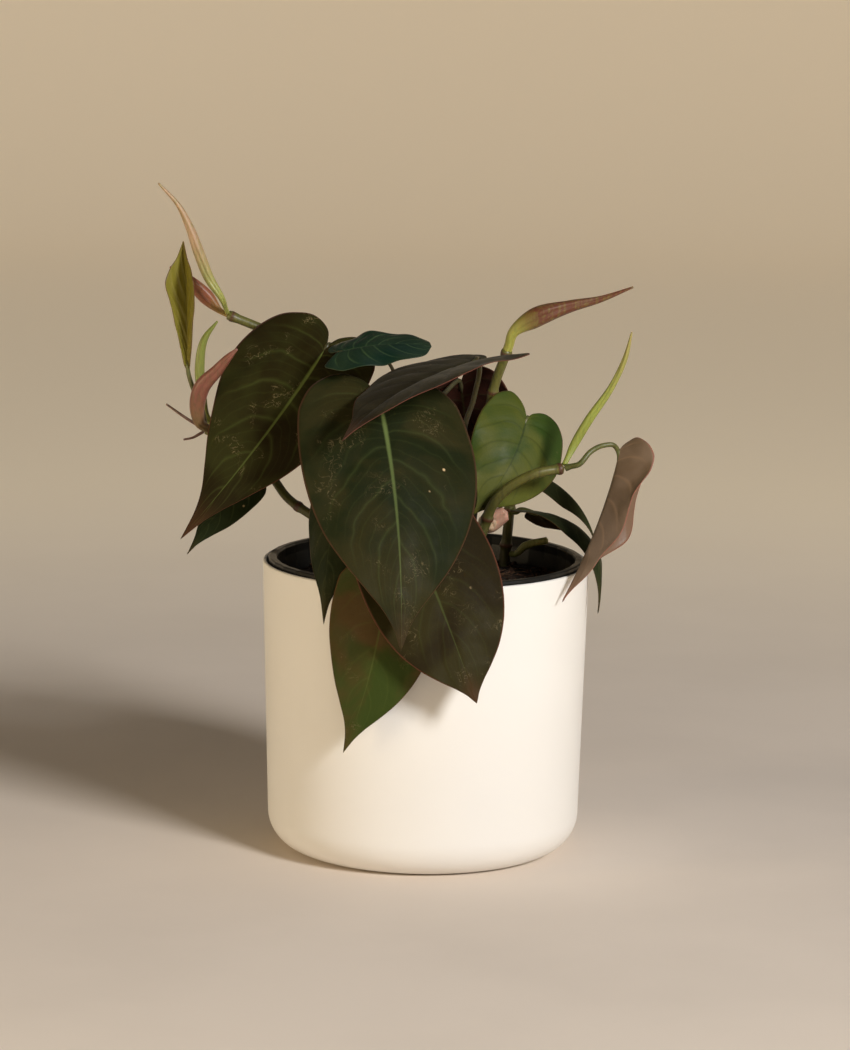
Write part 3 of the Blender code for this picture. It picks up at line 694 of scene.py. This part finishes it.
# %% Vein group
def vein_group():
    tree, given, result = new_group("leaf_veins", {"Count": VEIN_COUNT, "Width": 1.0},
                                    ("Midrib", "Side", "Fine", "Margin", "Under", "Puff"))
    marks = add(tree, "ShaderNodeAttribute", attribute_name="blade").outputs["Vector"]
    part = add(tree, "ShaderNodeSeparateXYZ", {0: marks}).outputs
    out = calc(tree, "ABSOLUTE", part["X"])
    along = part["Y"]
    broad = calc(tree, "MULTIPLY", ease(tree, along, -0.1, 0.5, 0.085, 0.03), given["Width"])
    core = calc(tree, "MULTIPLY", broad, 0.2)
    rib = calc(tree, "SUBTRACT", 1.0, ease(tree, out, core, broad))
    fading = ease(tree, along, 0.1, 0.8, 1.0, 0.45)
    tree.links.new(calc(tree, "MULTIPLY", rib, fading), result["Midrib"])
    sweep = calc(tree, "MULTIPLY", out, calc(tree, "MULTIPLY_ADD", out, 0.12, 0.13))
    wander = calc(tree, "MULTIPLY_ADD", noise(tree, 45.0, 2.0), 0.9, -0.45)
    left = calc(tree, "MULTIPLY_ADD", calc(tree, "LESS_THAN", part["X"], 0.0), 0.4, wander)
    phase = calc(tree, "MULTIPLY_ADD", calc(tree, "SUBTRACT", along, sweep), given["Count"], left)

    def stripes(count, width):
        turn = calc(tree, "MULTIPLY", phase, count * math.pi)
        away = calc(tree, "ABSOLUTE", calc(tree, "SINE", turn))
        return calc(tree, "SUBTRACT", 1.0, ease(tree, away, 0.0, width)), away

    side, puff = stripes(1, calc(tree, "MULTIPLY", given["Width"], 0.34))
    fine, _ = stripes(3, 0.4)
    inner = ease(tree, out, 1.0, 0.55)
    tree.links.new(calc(tree, "MULTIPLY", side, inner), result["Side"])
    tree.links.new(calc(tree, "MULTIPLY", fine, inner), result["Fine"])
    rim = ease(tree, out, 0.972, 0.998)
    tree.links.new(calc(tree, "MAXIMUM", rim, ease(tree, along, 0.84, 1.0, 0.0, 0.4)), result["Margin"])
    tree.links.new(ease(tree, part["Z"], 0.4, 0.6), result["Under"])
    tree.links.new(puff, result["Puff"])
    return tree


# %% Ageing group
def ageing_group():
    tree, _, result = new_group("leaf_ageing", {}, ("Cloud", "Scribble", "Speck"))
    tree.links.new(noise(tree, 38.0, 3.0, 0.5), result["Cloud"])
    lines = calc(tree, "ABSOLUTE", calc(tree, "SUBTRACT", noise(tree, 210.0, 3.5, 1.6), 0.5))
    patch = ease(tree, noise(tree, 75.0, 2.0), 0.56, 0.66)
    thin = calc(tree, "SUBTRACT", 1.0, ease(tree, lines, 0.004, 0.014))
    tree.links.new(calc(tree, "MULTIPLY", thin, patch), result["Scribble"])
    place = add(tree, "ShaderNodeTexCoord").outputs["Object"]
    dots = add(tree, "ShaderNodeTexVoronoi", {"Vector": place, "Scale": 95.0}).outputs["Distance"]
    near = calc(tree, "SUBTRACT", 1.0, ease(tree, dots, 0.035, 0.075))
    rare = ease(tree, noise(tree, 55.0, 1.0), 0.60, 0.64)
    tree.links.new(calc(tree, "MULTIPLY", near, rare), result["Speck"])
    return tree


VEINS, AGEING = vein_group(), ageing_group()
print("groups:", VEINS.name, AGEING.name)

# %% [markdown]
# ## Leaf finishes
# The upper skin is velvety: dark olive brown on old leaves, greener on shaded ones, copper on
# young ones. It is dull, because fine hairs break its gloss up, and they catch a little light at
# grazing angles, which the shader's sheen gives. The lower skin is reddish brown. A finish is one
# function, and each kind of leaf is an entry with its colours.

# %% Leaf finish
def leaf_finish(name, upper, cloud, vein, under, margin, pale=0.6, side=0.35, scribble=0.3,
                speck=0.5, roughness=0.56, sheen=0.04, gloss=0.10):
    material, tree, shader = new_material(
        name, roughness, Specular_IOR_Level=gloss, Sheen_Weight=sheen, Sheen_Roughness=0.35,
        Sheen_Tint=(0.80, 0.78, 0.70, 1.0))
    veins = add(tree, "ShaderNodeGroup", node_tree=VEINS).outputs
    age = add(tree, "ShaderNodeGroup", node_tree=AGEING).outputs
    tone = mix(tree, ease(tree, age["Cloud"], 0.38, 0.64), upper, cloud)
    tone = mix(tree, calc(tree, "MULTIPLY", veins["Fine"], 0.04), tone, vein)
    tone = mix(tree, calc(tree, "MULTIPLY", veins["Side"], side), tone, vein)
    tone = mix(tree, calc(tree, "MULTIPLY", veins["Midrib"], pale), tone, vein)
    tone = mix(tree, calc(tree, "MULTIPLY", age["Scribble"], scribble), tone, (0.26, 0.20, 0.10))
    tone = mix(tree, calc(tree, "MULTIPLY", age["Speck"], speck), tone, (0.62, 0.44, 0.24))
    back = mix(tree, calc(tree, "MULTIPLY", veins["Side"], 0.3), under, vein)
    back = mix(tree, calc(tree, "MULTIPLY", veins["Midrib"], 0.6), back, vein)
    tone = mix(tree, veins["Under"], tone, back)
    tone = mix(tree, calc(tree, "MULTIPLY", veins["Margin"], 0.8), tone, margin)
    tree.links.new(tone, shader.inputs["Base Color"])
    rough = ease(tree, noise(tree, 120.0, 3.0), 0.3, 0.7, roughness - 0.06, roughness + 0.12)
    tree.links.new(rough, shader.inputs["Roughness"])
    relief = calc(tree, "MULTIPLY_ADD", veins["Fine"], -0.06, veins["Puff"])
    relief = calc(tree, "MULTIPLY_ADD", noise(tree, 900.0, 2.0), 0.6, relief)
    bump(tree, shader, relief, 0.35, 0.35)
    return material


FINISH_COLOURS = {
    "old_olive": dict(
        upper=(0.017, 0.0125, 0.0030), cloud=(0.029, 0.029, 0.007), vein=(0.15, 0.20, 0.05),
        under=(0.05, 0.018, 0.010), margin=(0.15, 0.05, 0.03), pale=0.9, side=0.10, scribble=0.7,
        speck=0.6, gloss=0.08),
    "velvet": dict(
        upper=(0.012, 0.016, 0.0045), cloud=(0.029, 0.026, 0.008), vein=(0.14, 0.19, 0.06),
        under=(0.05, 0.02, 0.012), margin=(0.085, 0.040, 0.022), pale=0.9, side=0.06,
        scribble=0.30, speck=1.0, gloss=0.07),
    "velvet_brown": dict(
        upper=(0.019, 0.0135, 0.0040), cloud=(0.030, 0.025, 0.007), vein=(0.085, 0.11, 0.03),
        under=(0.05, 0.02, 0.012), margin=(0.14, 0.05, 0.03), pale=0.75, side=0.06, scribble=0.35,
        speck=0.4, gloss=0.07),
    "shade_green": dict(
        upper=(0.036, 0.055, 0.009), cloud=(0.080, 0.050, 0.016), vein=(0.10, 0.13, 0.028),
        under=(0.05, 0.02, 0.012), margin=(0.12, 0.05, 0.02), pale=0.6, side=0.1, scribble=0.3,
        speck=1.0),
    "grey_brown": dict(
        upper=(0.022, 0.017, 0.0075), cloud=(0.037, 0.031, 0.015), vein=(0.010, 0.008, 0.004),
        under=(0.030, 0.014, 0.008), margin=(0.15, 0.05, 0.035), pale=0.95, side=0.65,
        scribble=0.12, speck=0.2),
    "blue_green": dict(
        upper=(0.005, 0.020, 0.012), cloud=(0.014, 0.032, 0.015), vein=(0.07, 0.12, 0.05),
        under=(0.04, 0.02, 0.012), margin=(0.03, 0.05, 0.02), pale=0.5, side=0.4, scribble=0.1,
        speck=0.3, roughness=0.42, gloss=0.25),
    "mid_green": dict(
        upper=(0.030, 0.058, 0.0085), cloud=(0.088, 0.098, 0.014), vein=(0.016, 0.030, 0.006),
        under=(0.05, 0.05, 0.02), margin=(0.10, 0.06, 0.02), pale=0.7, side=0.30, scribble=0.08,
        speck=0.1, roughness=0.50, gloss=0.14),
    "red_back": dict(
        upper=(0.018, 0.016, 0.006), cloud=(0.028, 0.022, 0.008), vein=(0.05, 0.05, 0.02),
        under=(0.032, 0.011, 0.007), margin=(0.10, 0.04, 0.025)),
    "dark_green": dict(
        upper=(0.013, 0.020, 0.006), cloud=(0.026, 0.031, 0.010), vein=(0.05, 0.06, 0.02),
        under=(0.04, 0.025, 0.012), margin=(0.09, 0.05, 0.02), scribble=0.1),
    "copper": dict(
        upper=(0.21, 0.145, 0.095), cloud=(0.13, 0.083, 0.045), vein=(0.30, 0.19, 0.11),
        under=(0.17, 0.10, 0.062), margin=(0.28, 0.08, 0.05), pale=0.5, side=0.45, scribble=0.15,
        speck=0.1, roughness=0.38, sheen=0.12, gloss=0.35),
    "young_olive": dict(
        upper=(0.20, 0.175, 0.018), cloud=(0.11, 0.075, 0.014), vein=(0.30, 0.28, 0.05),
        under=(0.19, 0.165, 0.022), margin=(0.10, 0.045, 0.02), pale=0.7, side=0.5, scribble=0.9,
        speck=0.1, roughness=0.38, gloss=0.3),
}
FINISHES = {kind: leaf_finish(kind + "_leaf", **look) for kind, look in FINISH_COLOURS.items()}
print("leaf finishes:", len(FINISHES))

# %% [markdown]
# ## The fourteen leaves
# Each line of the table is one leaf: where its stalk joins, where its tip hangs, which way its
# face looks, how wide and how folded it is, and the way its stalk takes from its vine. Leaf and
# stalk grew as one piece; they are two surfaces here only because a stalk is a bar and a blade
# is a sheet.

# %% Leaf table
LEAVES = {
    "leaf_front": dict(
        base=(-19, -47, 188), tip=(-9, -95, 98), face=(0.22, -0.86, 0.45), left=0.33, right=0.345,
        bow=0.08, sway=0.01, fold=8, curl=0.22, full=0.09, lobes=(0.75, 0.55), finish="velvet",
        vine="vine_centre", share=0.80, stalk=((-11, -25, 178), (-15, -38, 183))),
    "leaf_front_lower": dict(
        base=(-7, -59, 140), tip=(20, -84, 76), face=(0.14, -0.96, 0.24), left=0.36, right=0.36,
        bow=0.05, fold=2, curl=0.06, full=0.16, lobes=(0.7, 0.8), finish="velvet_brown",
        vine="vine_centre", share=0.30, stalk=((-5, -22, 136), (-7, -42, 143))),
    "leaf_front_lowest": dict(
        base=(-15, -66, 121), tip=(-31, -66, 52), face=(-0.24, -0.97, 0.05), left=0.30, right=0.30,
        bow=0.05, sway=0.05, fold=8, curl=0.20, full=0.05, lobes=(0.45, 0.3), finish="shade_green",
        vine="vine_centre", share=0.18, stalk=((-6, -24, 126), (-11, -50, 127), (-14, -61, 125))),
    "leaf_left": dict(
        base=(-40, -14, 203), tip=(-96, -34, 129), face=(-0.32, -0.83, 0.46), left=0.38, right=0.25,
        bow=0.05, sway=0.05, fold=6, curl=0.05, lobes=(0.7, 0.5), finish="old_olive",
        vine="vine_left_high", share=0.62, stalk=((-33, 3, 193), (-37, -6, 201))),
    "leaf_left_behind": dict(
        base=(-70, -14, 150), tip=(-94, -22, 121), face=(-0.45, -0.80, 0.40), left=0.27, right=0.25,
        bow=0.05, fold=10, curl=0.2, lobes=(0.5, 0.5), finish="dark_green",
        vine="vine_left_low", share=0.72, stalk=((-66, -8, 153),)),
    "leaf_centre_left": dict(
        base=(-32, -34, 157), tip=(-39, -60, 101), face=(-0.50, -0.85, 0.10), left=0.25, right=0.30,
        bow=0.06, fold=16, curl=0.2, finish="dark_green",
        vine="vine_centre", share=0.55, stalk=((-14, -16, 155), (-25, -26, 160))),
    "leaf_top": dict(
        base=(17, -34, 200), tip=(-32, -99, 178), face=(-0.28, -0.08, 0.96), left=0.30, right=0.35,
        bow=0.05, sway=-0.03, fold=-6, curl=0.15, finish="grey_brown",
        vine="vine_right_high", share=0.55,
        stalk=((15, 3, 166), (18, -3, 182), (20, -11, 194), (19, -22, 200))),
    "leaf_top_small": dict(
        base=(-34, -38, 204), tip=(1, -42, 207), face=(0.0, -0.42, 0.91), left=0.36, right=0.36,
        bow=0.06, fold=5, curl=0.2, wave=3.5, puff=2.2, outline=BLUNT_OUTLINE,
        finish="blue_green",
        vine="vine_centre", share=1.0, stalk=((-14, -20, 195), (-21, -30, 203))),
    "leaf_right": dict(
        base=(39, 2, 173), tip=(18, -14, 137), face=(0.35, -0.88, 0.25), left=0.43, right=0.45,
        bow=0.09, sway=0.05, fold=5, curl=0.2, full=0.08, lobes=(1.3, 0.7), wave=2.5, puff=1.3,
        finish="mid_green",
        vine="vine_right_back", share=1.0, stalk=((38, 22, 164), (40, 11, 171))),
    "leaf_centre_back": dict(
        base=(13, 19, 185), tip=(19, 37, 133), face=(0.05, 0.90, 0.35), left=0.36, right=0.36,
        bow=0.06, fold=8, curl=0.2, finish="red_back",
        vine="vine_centre", share=0.86, stalk=((-4, -4, 175), (5, 8, 181))),
    "leaf_right_back_high": dict(
        base=(46, 26, 147), tip=(68, 16, 121), face=(0.35, 0.15, 0.92), left=0.30, right=0.30,
        bow=0.12, fold=28, curl=0.2, finish="dark_green",
        vine="vine_right_back", share=0.86, stalk=((41, 27, 148),)),
    "leaf_right_back_low": dict(
        base=(42, 20, 133), tip=(68, -20, 99), face=(0.50, 0.05, 0.86), left=0.21, right=0.21,
        bow=0.24, fold=14, curl=0.2, lobes=(0.4, 0.4), finish="dark_green",
        vine="vine_right_back", share=0.66, stalk=((38, 25, 133),)),
    "leaf_right_young": dict(
        base=(75, -19, 163), tip=(53, -44, 108), face=(-0.95, 0.10, 0.30), left=0.25, right=0.25,
        bow=-0.03, fold=50, curl=0.12, lobes=(0.6, 0.6), wave=3.5, puff=1.3, finish="copper",
        vine="vine_right", share=1.0,
        stalk=((59, -23, 159), (64, -21, 164), (69, -18, 166), (73, -17, 166))),
    "leaf_left_young": dict(
        base=(-95, -2, 191), tip=(-97, -4, 243), face=(0.35, 0.94, 0.0), left=0.17, right=0.25,
        bow=0.03, fold=52, curl=0.2, lobes=(0.1, 0.1), outline=YOUNG_OUTLINE, puff=1.6,
        finish="young_olive",
        vine="vine_left_low", share=1.0, stalk=((-90, 1, 177), (-93, -1, 184))),
}
GREEN_STALKS = ("leaf_right_young", "leaf_left_young", "leaf_right", "leaf_right_back_high",
                "leaf_right_back_low")
print("leaves:", len(LEAVES))

# %% Blades and stalks
SUNK = 0.3                               # how far a branch starts inside the vine's skin
BRANCH_STUB = 2.0                        # its straight start
STALK_POINTS = 64
SHOOT_POINTS = 72


def branch_start(vine, share, toward, inline=False):
    """Two points straight out of the vine's skin, on the side that the route goes to."""
    line, radii = VINE_LINES[vine]
    spot = share * (len(line) - 1)
    low = min(int(spot), len(line) - 2)
    centre = line[low] + (line[low + 1] - line[low]) * (spot - low)
    along = unit(line[low + 1] - line[low])
    away, reach = along, -SUNK
    if not inline:
        away = toward - centre
        forward = float(away @ along)
        away = unit(away - along * (forward if share < 1 else min(0.0, forward)))
        reach = float(np.interp(spot, np.arange(len(line)), radii)) - SUNK
    return [centre + away * reach, centre + away * (reach + BRANCH_STUB)]


def make_stalk(name, leaf):
    """A bar from the vine to 4 mm along the blade's midrib, thicker where it leaves the vine."""
    length = float(np.linalg.norm(np.subtract(leaf["tip"], leaf["base"])))
    surface_points, up, _, _ = blade_middle(leaf, 60, 3)
    midrib = site(surface_points[:, 1])
    reach = np.linalg.norm(midrib - midrib[0], axis=1)
    joint = midrib[[0, int(np.searchsorted(reach, 1.5)), int(np.searchsorted(reach, 4.0))]]
    joint[1:] -= unit(up[1, 1]) * 0.25
    route = np.vstack([site(leaf["stalk"]), joint])
    start = branch_start(leaf["vine"], leaf["share"], route[0])
    path = smooth(np.vstack([*start, route]), STALK_POINTS)
    share = np.linspace(0, 1, STALK_POINTS)
    radii = np.interp(share, (0, 0.06, 0.8, 0.93, 1), (1.5, 1.15, 0.95, 0.85, 0.3))
    piece = carry(name.replace("leaf", "stalk"), path, radii * min(1, length / 55), 14)
    finish = GREEN_STALK if name in GREEN_STALKS else DARK_STALK
    return finish_piece(piece, name, finish)


for name, leaf in LEAVES.items():
    blade = make_blade(name.replace("leaf", "blade"), leaf, FINISHES[leaf["finish"]])
    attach(blade, "root")
    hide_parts(name)
    make_stalk(name, leaf)
print("blades and stalks:", 2 * len(LEAVES))

# %% [markdown]
# ## Shoots, sheaths and roots
# New leaves come rolled up like a spear, each out of a sheath that dries to a papery boat. All
# are tapering forms on a path. What differs is the cross-section: a spear has one turned-in
# edge, a line that winds slowly round it, and a sheath is flattened and open along one side.

# %% Shoot table
SHOOTS = {
    "sheath_left_high": dict(
        vine="vine_left_high", share=1.0, inline=True, radii=(1.0, 3.0, 2.2, 0.5), form="sheath",
        route=((-89, 14, 219), (-95, 13, 225), (-103, 11, 231))),
    "spear_left_high": dict(
        vine="vine_left_high", share=1.0, radii=(0.9, 1.2, 1.9, 2.1, 1.6, 1.0, 0.4), form="spear",
        route=((-82, 5, 219), (-87, 4, 227), (-91, 3, 237), (-95, 2, 248), (-99, 1, 256),
               (-107, 0, 265))),
    "sheath_left_low": dict(
        vine="vine_left_low", share=0.96, radii=(1.2, 2.2, 3.0, 3.2, 2.4, 1.4, 0.5), form="sheath",
        route=((-90, -6, 171), (-91, -9, 178), (-89, -12, 186), (-83, -15, 193), (-78, -17, 199),
               (-75, -17, 202))),
    "spear_left_low": dict(
        vine="vine_left_low", share=0.95, radii=(1.0, 1.4, 1.7, 1.9, 1.4, 0.4), form="spear",
        route=((-88, 8, 171), (-90, 8, 180), (-91, 8, 192), (-89, 7, 203), (-84, 7, 210))),
    "spear_right": dict(
        vine="vine_right", share=1.0, radii=(1.0, 1.5, 1.7, 1.3, 1.0, 0.35), form="spear",
        route=((57, -17, 165), (63, -18, 176), (72, -19, 190), (77, -20, 202), (79, -20, 211))),
    "leaf_unfurling": dict(
        vine="vine_right_high", share=1.0, inline=True, radii=(1.8, 2.0, 3.8, 2.5, 1.4, 0.4),
        form="spear",
        route=((33, -3, 208), (41, -4, 214), (55, -4, 219), (67, -4, 222), (80, -4, 227))),
    "sheath_old": dict(
        vine="vine_right", share=0.42, radii=(1.4, 4.0, 3.2), form="sheath",
        route=((24, -9, 133), (31, -9, 137))),
    "stalk_stub": dict(
        vine="vine_right_back", share=0.22, radii=(1.2, 1.6, 1.4), form="bar",
        route=((40, 31, 117), (49, 29, 120))),
    "aerial_root_upper": dict(
        vine="vine_left_low", share=1.0, radii=(0.6, 0.6, 0.4), form="bar",
        route=((-95, 3, 171), (-104, 4, 177))),
    "aerial_root_lower": dict(
        vine="vine_left_low", share=1.0, radii=(0.6, 0.5, 0.4), form="bar",
        route=((-93, 3, 164), (-97, 3, 163))),
}
SHOOT_LOOKS = {
    "sheath_left_high": dict(
        name="pink_sheath", foot=(0.30, 0.20, 0.05), end=(0.27, 0.09, 0.05),
        ring=(0.33, 0.11, 0.07), turn=(0.0, 0.4)),
    "spear_left_high": dict(
        name="tan_spear", foot=(0.34, 0.36, 0.09), end=(0.42, 0.27, 0.16), ring=(0.12, 0.05, 0.03),
        turn=(0.15, 0.6)),
    "sheath_left_low": dict(
        name="brown_sheath", foot=(0.17, 0.12, 0.04), end=(0.21, 0.075, 0.05),
        ring=(0.36, 0.12, 0.09), turn=(0.1, 0.55)),
    "spear_left_low": dict(
        name="green_spear", foot=(0.27, 0.30, 0.06), end=(0.20, 0.23, 0.045),
        ring=(0.12, 0.10, 0.03)),
    "spear_right": dict(
        name="fresh_spear", foot=(0.29, 0.33, 0.06), end=(0.36, 0.30, 0.09),
        ring=(0.16, 0.14, 0.04), turn=(0.4, 1.0)),
    "leaf_unfurling": dict(
        name="copper_roll", foot=(0.40, 0.40, 0.08), end=(0.125, 0.036, 0.018),
        ring=(0.22, 0.10, 0.05), turn=(0.10, 0.36)),
    "sheath_old": dict(
        name="cream_sheath", foot=(0.42, 0.33, 0.20), end=(0.50, 0.27, 0.20),
        ring=(0.33, 0.14, 0.10)),
    "stalk_stub": dict(
        name="pale_stub", foot=(0.17, 0.19, 0.05), end=(0.33, 0.33, 0.12), ring=(0.17, 0.11, 0.05)),
    "aerial_root_upper": dict(
        name="root_brown", foot=(0.14, 0.07, 0.05), end=(0.24, 0.15, 0.11),
        ring=(0.10, 0.05, 0.03)),
    "aerial_root_lower": dict(
        name="root_dark", foot=(0.11, 0.05, 0.035), end=(0.18, 0.10, 0.08),
        ring=(0.08, 0.04, 0.03)),
}
SHOOT_FINISHES = {name: stem_finish(**look) for name, look in SHOOT_LOOKS.items()}


def rolled(turn, share):
    """Radius share of a rolled leaf: 1, with a groove 0.25 deep along a line that winds round."""
    seam = (turn - 3.9 - 1.6 * share + np.pi) % (2 * np.pi) - np.pi
    return 1 + 0.05 * np.cos(2 * turn + 3 * share) - 0.25 * np.exp(-(seam / 0.22) ** 2)


def boat(turn, share):
    """Radius share of a sheath: flattened to 0.55, with a deep channel on its open side."""
    seam = (turn - 1.2 + np.pi) % (2 * np.pi) - np.pi
    flat = 1 - 0.45 * np.sin(turn - 1.2 + np.pi / 2) ** 2
    return flat * (1 - 0.35 * np.exp(-(seam / 0.5) ** 2)) + 0.04 * np.cos(5 * turn)


FORMS = {"spear": rolled, "sheath": boat, "bar": None}


def make_shoot(name, vine, share, radii, route, form, inline=False):
    """A bar on its route whose radius is a smooth curve through the given ones."""
    route = site(route)
    points = np.vstack([branch_start(vine, share, route[0], inline), route])
    path = smooth(points, SHOOT_POINTS)
    knots = np.r_[0, np.cumsum(np.linalg.norm(np.diff(points, axis=0), axis=1))]
    where = np.linspace(0, knots[-1], SHOOT_POINTS)
    swell = smooth(np.stack([knots, np.r_[radii[0], radii]], axis=-1), 400)
    piece = carry(name + "_skin", path, np.interp(where, swell[:, 0], swell[:, 1]), 28, FORMS[form])
    return finish_piece(piece, name, SHOOT_FINISHES[name])


for name, shoot in SHOOTS.items():
    make_shoot(name, **shoot)
print("shoots:", len(SHOOTS))

# %% [markdown]
# ## The room
# A pale floor that curves up into a low wall all round, so that the plant can be looked at from
# every side. Away from the pot the paper turns darker and yellower and glows faintly in that
# colour: painted light, standing in for a room that goes on being lit there.
# Three soft lights: a strong one in front at the right, which makes the long shadow, a faint one
# overhead, and a warm one low at the left, which only brightens the pot's shaded side.

# %% Floor and wall
ROOM_RADIUS = 3000.0
ROOM_BEND = 600.0                        # radius of the curve from floor to wall
ROOM_WALL = 1000.0
ROOM_AROUND = 160
ROOM_PAINTED_LIGHT = 0.29                         # strength of the far paper's glow, which is painted light


def studio_paper():
    """A round floor that curves up into a low wall: point = (r cos(turn), r sin(turn), z).

    It goes all the way round, so that the pot can be looked at from every side.
    """
    bend = np.radians(np.linspace(0, 90, 24))
    r = np.r_[1, 600, 1500, ROOM_RADIUS - ROOM_BEND * (1 - np.sin(bend)), ROOM_RADIUS][:, None]
    z = np.r_[0, 0, 0, ROOM_BEND * (1 - np.cos(bend)), ROOM_WALL][:, None]
    turn = np.linspace(0, 2 * np.pi, ROOM_AROUND, endpoint=False)[None, :]
    points = np.stack([r * np.cos(turn), r * np.sin(turn), z + 0 * turn], axis=-1) * MM
    index = np.arange(r.size * ROOM_AROUND).reshape(r.size, ROOM_AROUND)
    ahead = np.roll(index, -1, axis=1)
    faces = np.stack([index[:-1], index[1:], ahead[1:], ahead[:-1]], axis=-1).reshape(-1, 4)
    mesh = bpy.data.meshes.new("studio_paper")
    mesh.from_pydata(points.reshape(-1, 3).tolist(), [], faces.tolist())
    mesh.shade_smooth()
    paper = new_object("studio_paper", mesh)
    material, tree, shader = new_material("warm_paper", 0.9, Specular_IOR_Level=0.2)
    cloud = noise(tree, 6.0, 5.0)
    tone = mix(tree, ease(tree, cloud, 0.35, 0.65), (0.86, 0.76, 0.665), (0.81, 0.715, 0.625))
    place = add(tree, "ShaderNodeTexCoord").outputs["Object"]
    distance = add(tree, "ShaderNodeVectorMath", {0: place}, operation="LENGTH").outputs["Value"]
    # Painted light: further from the pot the paper turns darker and yellower and glows in that colour,
    # standing in for room light
    far = ease(tree, distance, 0.15, 1.0)
    tone = mix(tree, far, tone, (0.80, 0.675, 0.50))
    tree.links.new(tone, shader.inputs["Base Color"])
    tree.links.new(tone, shader.inputs["Emission Color"])
    tree.links.new(calc(tree, "MULTIPLY", far, ROOM_PAINTED_LIGHT), shader.inputs["Emission Strength"])
    mesh.materials.append(material)
    return paper


def area_light(name, place, toward, size, power, colour):
    light = bpy.data.lights.new(name, "AREA")
    light.shape = "DISK"
    light.size = size
    light.energy = power
    light.color = colour
    lamp = new_object(name, light)
    aim = unit(np.array(toward, float) - np.array(place, float))
    away = np.array([0, 0, 1.0])
    right = unit(np.cross(aim, away))
    lamp.matrix_world = Matrix([[*row, p] for row, p in zip(
        np.stack([right, np.cross(right, aim), -aim], axis=-1), place)] + [[0, 0, 0, 1]])
    return lamp


print("paper:", studio_paper().name)

# %% Lights
MIDDLE = (0.0, 0.0, 0.12)
area_light("window", (1.25, -1.70, 1.15), MIDDLE, 0.55, 47.5, (1.0, 0.99, 0.975))
area_light("skylight", (0.3, 0.3, 2.0), MIDDLE, 1.2, 1.5, (1.0, 0.97, 0.93))
area_light("bounce", (-0.9, -0.45, 0.14), (0.1, -0.85, 0.12), 0.5, 4.8, (1.0, 0.80, 0.50))
world = bpy.data.worlds.new("studio")
bpy.context.scene.world = world
world.use_nodes = True
world.node_tree.nodes["Background"].inputs["Color"].default_value = (1.0, 0.95, 0.88, 1.0)
world.node_tree.nodes["Background"].inputs["Strength"].default_value = 0.04
bpy.context.scene.view_settings.view_transform = "Standard"
